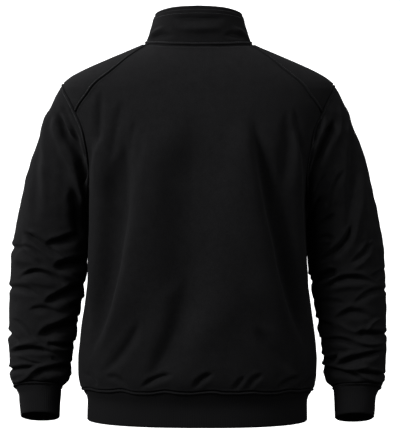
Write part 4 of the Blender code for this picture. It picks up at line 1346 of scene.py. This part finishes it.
def collar_surface(around, up):
    """A point of the outer collar, where up is 0 at the neck seam and 1 at the top."""
    half = np.where(around > 90, 180 - around, around)
    half = np.where(half < -90, -180 - half, half)
    side = np.where((around > 90) | (around < -90), -1.0, 1.0)
    base = body(*neck(half))
    across = base[..., 0]
    depth = np.where(half < 0, COLLAR_FRONT, COLLAR_BACK)
    base_depth = np.where(half < 0, -body(*neck(-90.0))[1], body(*neck(90.0))[1])
    turn = np.arctan2(base[..., 1] / base_depth, across / NECK_HALF_WIDTH)
    reach = roundness(turn, COLLAR_SQUARENESS)
    beside_zip = np.exp(-np.clip(across - SLIT_HALF, 0, None) / COLLAR_EASE)
    ease = 1 + np.where(half < 0, beside_zip, 0) * (NECK_HALF_WIDTH / COLLAR_HALF_WIDTH - 1)
    top_x = COLLAR_HALF_WIDTH * ease * reach * np.cos(turn)
    top_y = depth * reach * np.sin(turn)
    top_z = read(COLLAR_TOP, "height", half, by="around")
    lean = np.power(up, COLLAR_LEAN)
    x = across + (top_x - across) * lean
    y = base[..., 1] + (top_y - base[..., 1]) * lean
    z = base[..., 2] + (top_z - base[..., 2]) * up
    return np.stack([side * x, y, z], axis=-1)


def collar_pieces(cloth, thread):
    """The outer collar on the neck seam, and the inner one that lies in it and stands above it."""
    start = neck_around(SLIT_HALF)
    round_it = shares(470, 2.4, True, True)
    around = start + round_it * (180 - 2 * start)
    up = shares(70, 2.0, True, True)
    up_grid, around_grid = np.meshgrid(up, around, indexing="ij")
    points = collar_surface(around_grid, up_grid)
    out = grid_out(points, False)
    depth = fold_depth(COLLAR_FOLDS, around_grid, up_grid * 100)
    folded = points + (depth * np.sin(np.pi * up_grid))[..., None] * out
    rise = wobble(points, "collar")
    rise += beside(points, points[0], NECK_EDGE)
    for edge in (points[:, 0], points[:, -1]):
        rise += beside(points, edge, TURNED_EDGE)
    placed = raised(folded, rise, out)
    made = shell("collar_outer", placed, out, CLOTH, cloth)
    stitches("stitches_neck", points, placed, out, thread)
    upside_down = tuple(grid[::-1] for grid in (points, placed, out))
    stitches("stitches_collar_top", *upside_down, thread, at=6.0)
    by_column = tuple(grid.swapaxes(0, 1) for grid in (points, placed, out))
    stitches("stitches_collar_left", *by_column, thread)
    stitches("stitches_collar_right", *(grid[::-1] for grid in by_column), thread)
    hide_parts("collar")
    keep = slice(6, -6)
    lining = (points - (FACING_GAP + CLOTH) * out)[2:, keep]
    lining_out = out[2:, keep]
    top, top_out = lining[-1:], lining_out[-1:]
    steps = np.linspace(0, FACING_STANDS, 6)[1:, None, None]
    lining = np.concatenate([lining, top + steps * np.array([0.0, 0.0, 1.0])])
    lining_out = np.concatenate([lining_out] + [top_out] * 5)
    made = shell("collar_inner", lining, lining_out, FACING, cloth)
    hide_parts("collar_facing")
    return points, out


# Stitches

STITCH = 2.8  # the length of one stitch
STITCH_GAP = 0.7
THREAD = 0.28  # its radius
STITCHED_AT = 5.0  # how far from a seam its row of stitches runs
STITCH_BENDS = (0.0, 0.22, 0.78, 1.0)  # where a stitch's ends and bends are along it
STITCH_SIDES = 5
STITCH_DIPS = 0.6  # its ends are this many radii under the cloth's face
ROWS_NEAR_SEAM = 60  # enough rows of a grid to reach the stitches


def stitches(name, base, placed, out, thread, at=STITCHED_AT, closed=False):
    """A row of stitches on a piece, a given distance in from the first row of its grid."""
    base, placed, out = (grid[:ROWS_NEAR_SEAM] for grid in (base, placed, out))
    step = np.linalg.norm(np.diff(base, axis=0), axis=-1)
    reached = np.concatenate([np.zeros((1, step.shape[1])), np.cumsum(step, axis=0)])
    line, normal = np.empty((step.shape[1], 3)), np.empty((step.shape[1], 3))
    for k in range(step.shape[1]):
        for axis in range(3):
            line[k, axis] = np.interp(at, reached[:, k], placed[:, k, axis])
            normal[k, axis] = np.interp(at, reached[:, k], out[:, k, axis])
    if closed:
        line, normal = np.concatenate([line, line[:1]]), np.concatenate([normal, normal[:1]])
    reached = reached_along(line)
    points, faces = [], []
    for i in range(int(reached[-1] / (STITCH + STITCH_GAP))):
        first = i * (STITCH + STITCH_GAP) + STITCH_GAP / 2
        along_it = first + STITCH * np.array(STITCH_BENDS)
        middle = point_at(along_it, reached, line)
        up = unit(point_at(along_it, reached, normal))
        across = unit(np.cross(unit(np.gradient(middle, axis=0)), up))
        lay_stitch(points, faces, middle, up, across)
    return piece(name, np.array(points) * MM, faces, [thread])


def lay_stitch(points, faces, middle, up, across):
    """Adds one stitch: a short spindle that dips into the cloth at both ends."""
    sides, first = STITCH_SIDES, len(points)
    points.append(middle[0] - STITCH_DIPS * THREAD * up[0])
    for j in (1, 2):
        for k in range(sides):
            turn = 2 * math.pi * k / sides
            offset = math.cos(turn) * across[j] + (0.5 + math.sin(turn)) * up[j]
            points.append(middle[j] + THREAD * offset)
    points.append(middle[3] - STITCH_DIPS * THREAD * up[3])
    for k in range(sides):
        a, b = first + 1 + k, first + 1 + (k + 1) % sides
        faces.append([first, a, b])
        faces.append([a, a + sides, b + sides, b])
        faces.append([a + sides, first + 1 + 2 * sides, b + sides])


# The zip


def front_strip(across, tail, top, rows=90, collar_rows=24):
    """Points of the garment's face beside the middle of the front, up to the collar's top."""
    across = np.asarray(across, float)
    size, side = np.abs(across), np.where(across < 0, -1.0, 1.0)
    lines = []
    for height in np.linspace(SLIT_BOTTOM - tail, NECK[0].height, rows):
        point = body(side_angle(size, height, True), np.full(len(size), height))
        lines.append(point * np.stack([side, np.ones(len(side)), np.ones(len(side))], axis=-1))
    for up in np.linspace(0, top, collar_rows + 1)[1:]:
        around = neck_around(size)
        around = np.where(side < 0, 180 - around, around)
        lines.append(collar_surface(around, np.full(len(size), up)))
    return np.array(lines)


def zip_tapes(tape):
    """The woven tapes behind the slit."""
    depth = CHAIN_DEPTH + (CHAIN - TAPE) / 2
    for side, name in ((1, "left"), (-1, "right")):
        across = side * np.linspace(TAPE_INNER, TAPE_OUTER, 8)[::side]
        points = front_strip(across, TAPE_TAIL, TAPE_TOP)
        out = grid_out(points, False)
        made = shell(
            "zip_tape_" + name + "_woven", points - depth * out, out, TAPE, tape
        )
        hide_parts("zip_tape_" + name)


COIL_PITCH = 1.0  # from one loop to the next, which comes from the other side
COIL_SIDES = 8
COIL_RINGS = 6
COIL_CROSSES = 0.9  # how far a loop's head reaches past the middle
COIL_HALF_THICK = 0.42
COIL_HEAD = 0.12  # a loop's head is this much thicker
COIL_ENDS = 0.55  # a loop's first and last rings are this much less tall


def zip_coil(nylon):
    """The closed coils: loops from each side in turn, each a rounded bar across the middle."""
    line = front_strip([0.0, 1.0], -5, SLIDER_AT)
    out = -grid_out(line, False)[:, 0]
    out = np.where((out[:, 1] > 0)[:, None], -out, out)
    line = line[:, 0]
    reached = reached_along(line)
    sides, rings = COIL_SIDES, COIL_RINGS
    points, faces = [], []
    turn = np.arange(sides) * 2 * math.pi / sides
    for i in range(int(reached[-1] / COIL_PITCH)):
        at = (i + 0.5) * COIL_PITCH
        centre = point_at(at, reached, line)
        normal = unit(point_at(at, reached, out))
        right = np.array([1.0, 0.0, 0.0])
        ahead = unit(np.cross(normal, right))
        side = 1 if i % 2 else -1
        centre = centre - normal * (CHAIN_DEPTH + CHAIN / 2)
        first = len(points)
        for j in range(rings):
            share = j / (rings - 1)
            x = side * (CHAIN_HALF * (1 - share) - COIL_CROSSES * share)
            fat = COIL_HALF_THICK + COIL_HEAD * share
            tall = CHAIN / 2 * (1.0 if 0 < j < rings - 1 else COIL_ENDS)
            for a in turn:
                offset = fat * math.cos(a) * ahead + tall * math.sin(a) * normal
                points.append(centre + x * right + offset)
        for j in range(rings - 1):
            for k in range(sides):
                n = (k + 1) % sides
                a, b = first + j * sides, first + (j + 1) * sides
                faces.append([a + k, a + n, b + n, b + k])
        faces.append([first + k for k in range(sides)][::-1])
        faces.append([first + (rings - 1) * sides + k for k in range(sides)])
    made = piece("zip_coil", np.array(points) * MM, faces, [nylon])
    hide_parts("zip_chain")


def cast_metal(node, name, body, metal):
    """A hard piece of the zip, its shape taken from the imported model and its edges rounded."""
    thing = bpy.data.objects.new(name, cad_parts[node].data.copy())
    bpy.context.collection.objects.link(thing)
    thing.data.materials.clear()
    thing.data.materials.append(metal)
    rounded = thing.modifiers.new("rounded_edges", "BEVEL")
    rounded.width = 0.35 * MM
    rounded.segments = 3
    rounded.limit_method = "ANGLE"
    rounded.angle_limit = math.radians(40)
    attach(thing, body)
    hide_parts(node)


# Stage, camera and light

# The places here are in metres.
LENS = 131.5  # mm, on a sensor 36 mm wide
CAMERA_AT = (-0.0037, 3.0, -0.26)
LOOKS_AT = (-0.0037, 0.0, -0.3277)
ROLL = 0.0035
FLOOR = -1.55
FLOOR_STARTS = 9.0  # the paper runs from here, behind the camera
FLOOR_ENDS = -2.0  # to here, where it curves up
PAPER_CURVE = 1.5
PAPER_TOP = 6.0
PAPER_HALF_WIDTH = 9.0


def look(thing, target, roll=0.0):
    """Points a camera or a light at a place."""
    toward = Vector(target) - thing.location
    turn = toward.to_track_quat("-Z", "Y").to_matrix().to_4x4()
    thing.rotation_euler = (turn @ Matrix.Rotation(roll, 4, "Z")).to_euler()


def camera():
    """The photograph's view, from straight behind at chest height."""
    lens = bpy.data.cameras.new("camera")
    lens.lens = LENS
    lens.sensor_width = 36
    lens.sensor_height = 36
    eye = bpy.data.objects.new("camera", lens)
    bpy.context.collection.objects.link(eye)
    eye.location = CAMERA_AT
    look(eye, LOOKS_AT, ROLL)
    bpy.context.scene.camera = eye


MIDDLE = Vector((0.0, 0.0, -0.35))
LAMP_DISTANCE = 3.2

# Studio lamps, placed by how far round they stand from the camera (towards the picture's
# left below 0) and how high, both in degrees.
Lamp = namedtuple("Lamp", "name around height watts")
LAMPS = (
    Lamp("key", -58, 32, 98),
    Lamp("overhead", 0, 90, 28),
    Lamp("left_front", -30, 25, 16),
    Lamp("left_behind", -115, 35, 50),
    Lamp("right", 60, 35, 25),
)
ROOM_LIGHT = 0.07  # what the white studio's walls give back from every side


def light(lamp):
    """A soft square studio light, a little over a metre wide."""
    made = bpy.data.lights.new(lamp.name, "AREA")
    made.shape = "SQUARE"
    made.size = 1.2
    made.energy = lamp.watts
    thing = bpy.data.objects.new(lamp.name, made)
    bpy.context.collection.objects.link(thing)
    turn, rise = math.radians(lamp.around), math.radians(lamp.height)
    level = math.cos(rise)
    away = Vector((-math.sin(turn) * level, math.cos(turn) * level, math.sin(rise)))
    thing.location = MIDDLE + LAMP_DISTANCE * away
    look(thing, MIDDLE)


def studio():
    """A white floor that curves up into the backdrop, and the lamps. The paper only shows:
    the light that it would give back is already in that of the room."""
    paper, tree, shader = material("white_studio_paper", "#f4f4f4", 0.95)
    shader.inputs["Emission Color"].default_value = colour("#ffffff")
    shader.inputs["Emission Strength"].default_value = 1.0
    # The paper's tooth is about 1 mm.
    relief(tree, shader, noise(tree, 900.0, Detail=2.0), 0.1, 0.0002)
    profile = [(FLOOR_STARTS, FLOOR)]
    for a in np.radians(np.linspace(0, 90, 13)):
        up = FLOOR + PAPER_CURVE * (1 - math.cos(a))
        profile.append((FLOOR_ENDS - PAPER_CURVE * math.sin(a), up))
    profile.append((FLOOR_ENDS - PAPER_CURVE, PAPER_TOP))
    sides = (-PAPER_HALF_WIDTH, PAPER_HALF_WIDTH)
    points = [(x, y, z) for y, z in profile for x in sides]
    faces = [[2 * i, 2 * i + 1, 2 * i + 3, 2 * i + 2] for i in range(len(profile) - 1)]
    mesh = bpy.data.meshes.new("backdrop")
    mesh.from_pydata(points, [], faces)
    mesh.shade_smooth()
    mesh.materials.append(paper)
    sweep = bpy.data.objects.new("backdrop", mesh)
    bpy.context.collection.objects.link(sweep)
    sweep.visible_diffuse = False
    sweep.visible_glossy = False
    sweep.visible_shadow = False
    world = bpy.data.worlds.new("studio")
    world.use_nodes = True
    room = world.node_tree.nodes["Background"]
    room.inputs["Color"].default_value = colour("#ffffff")
    room.inputs["Strength"].default_value = ROOM_LIGHT
    bpy.context.scene.world = world
    for lamp in LAMPS:
        light(lamp)
    bpy.context.scene.view_settings.view_transform = "Standard"


def main():
    camera()
    studio()
    cloth = [fleece(), brushed_inside()]
    rib = [rib_knit()]
    thread = sewing_thread()
    back_panel(cloth)
    front_panel(cloth, thread)
    hem_band(rib, thread)
    for side in (1, -1):
        shoulder_yoke(side, cloth, thread)
        sleeve_and_cuff(side, cloth, rib, thread)
    collar_pieces(cloth, thread)
    zip_tapes([woven_tape()])
    zip_coil(nylon_coil())
    metal = lacquered_zinc()
    cast_metal("zip_slider", "slider", "garment", metal)
    cast_metal("zip_bottom_stop", "bottom_stop", "garment", metal)
    cast_metal("zip_pull", "pull_tab", "zip_pull", metal)


main()
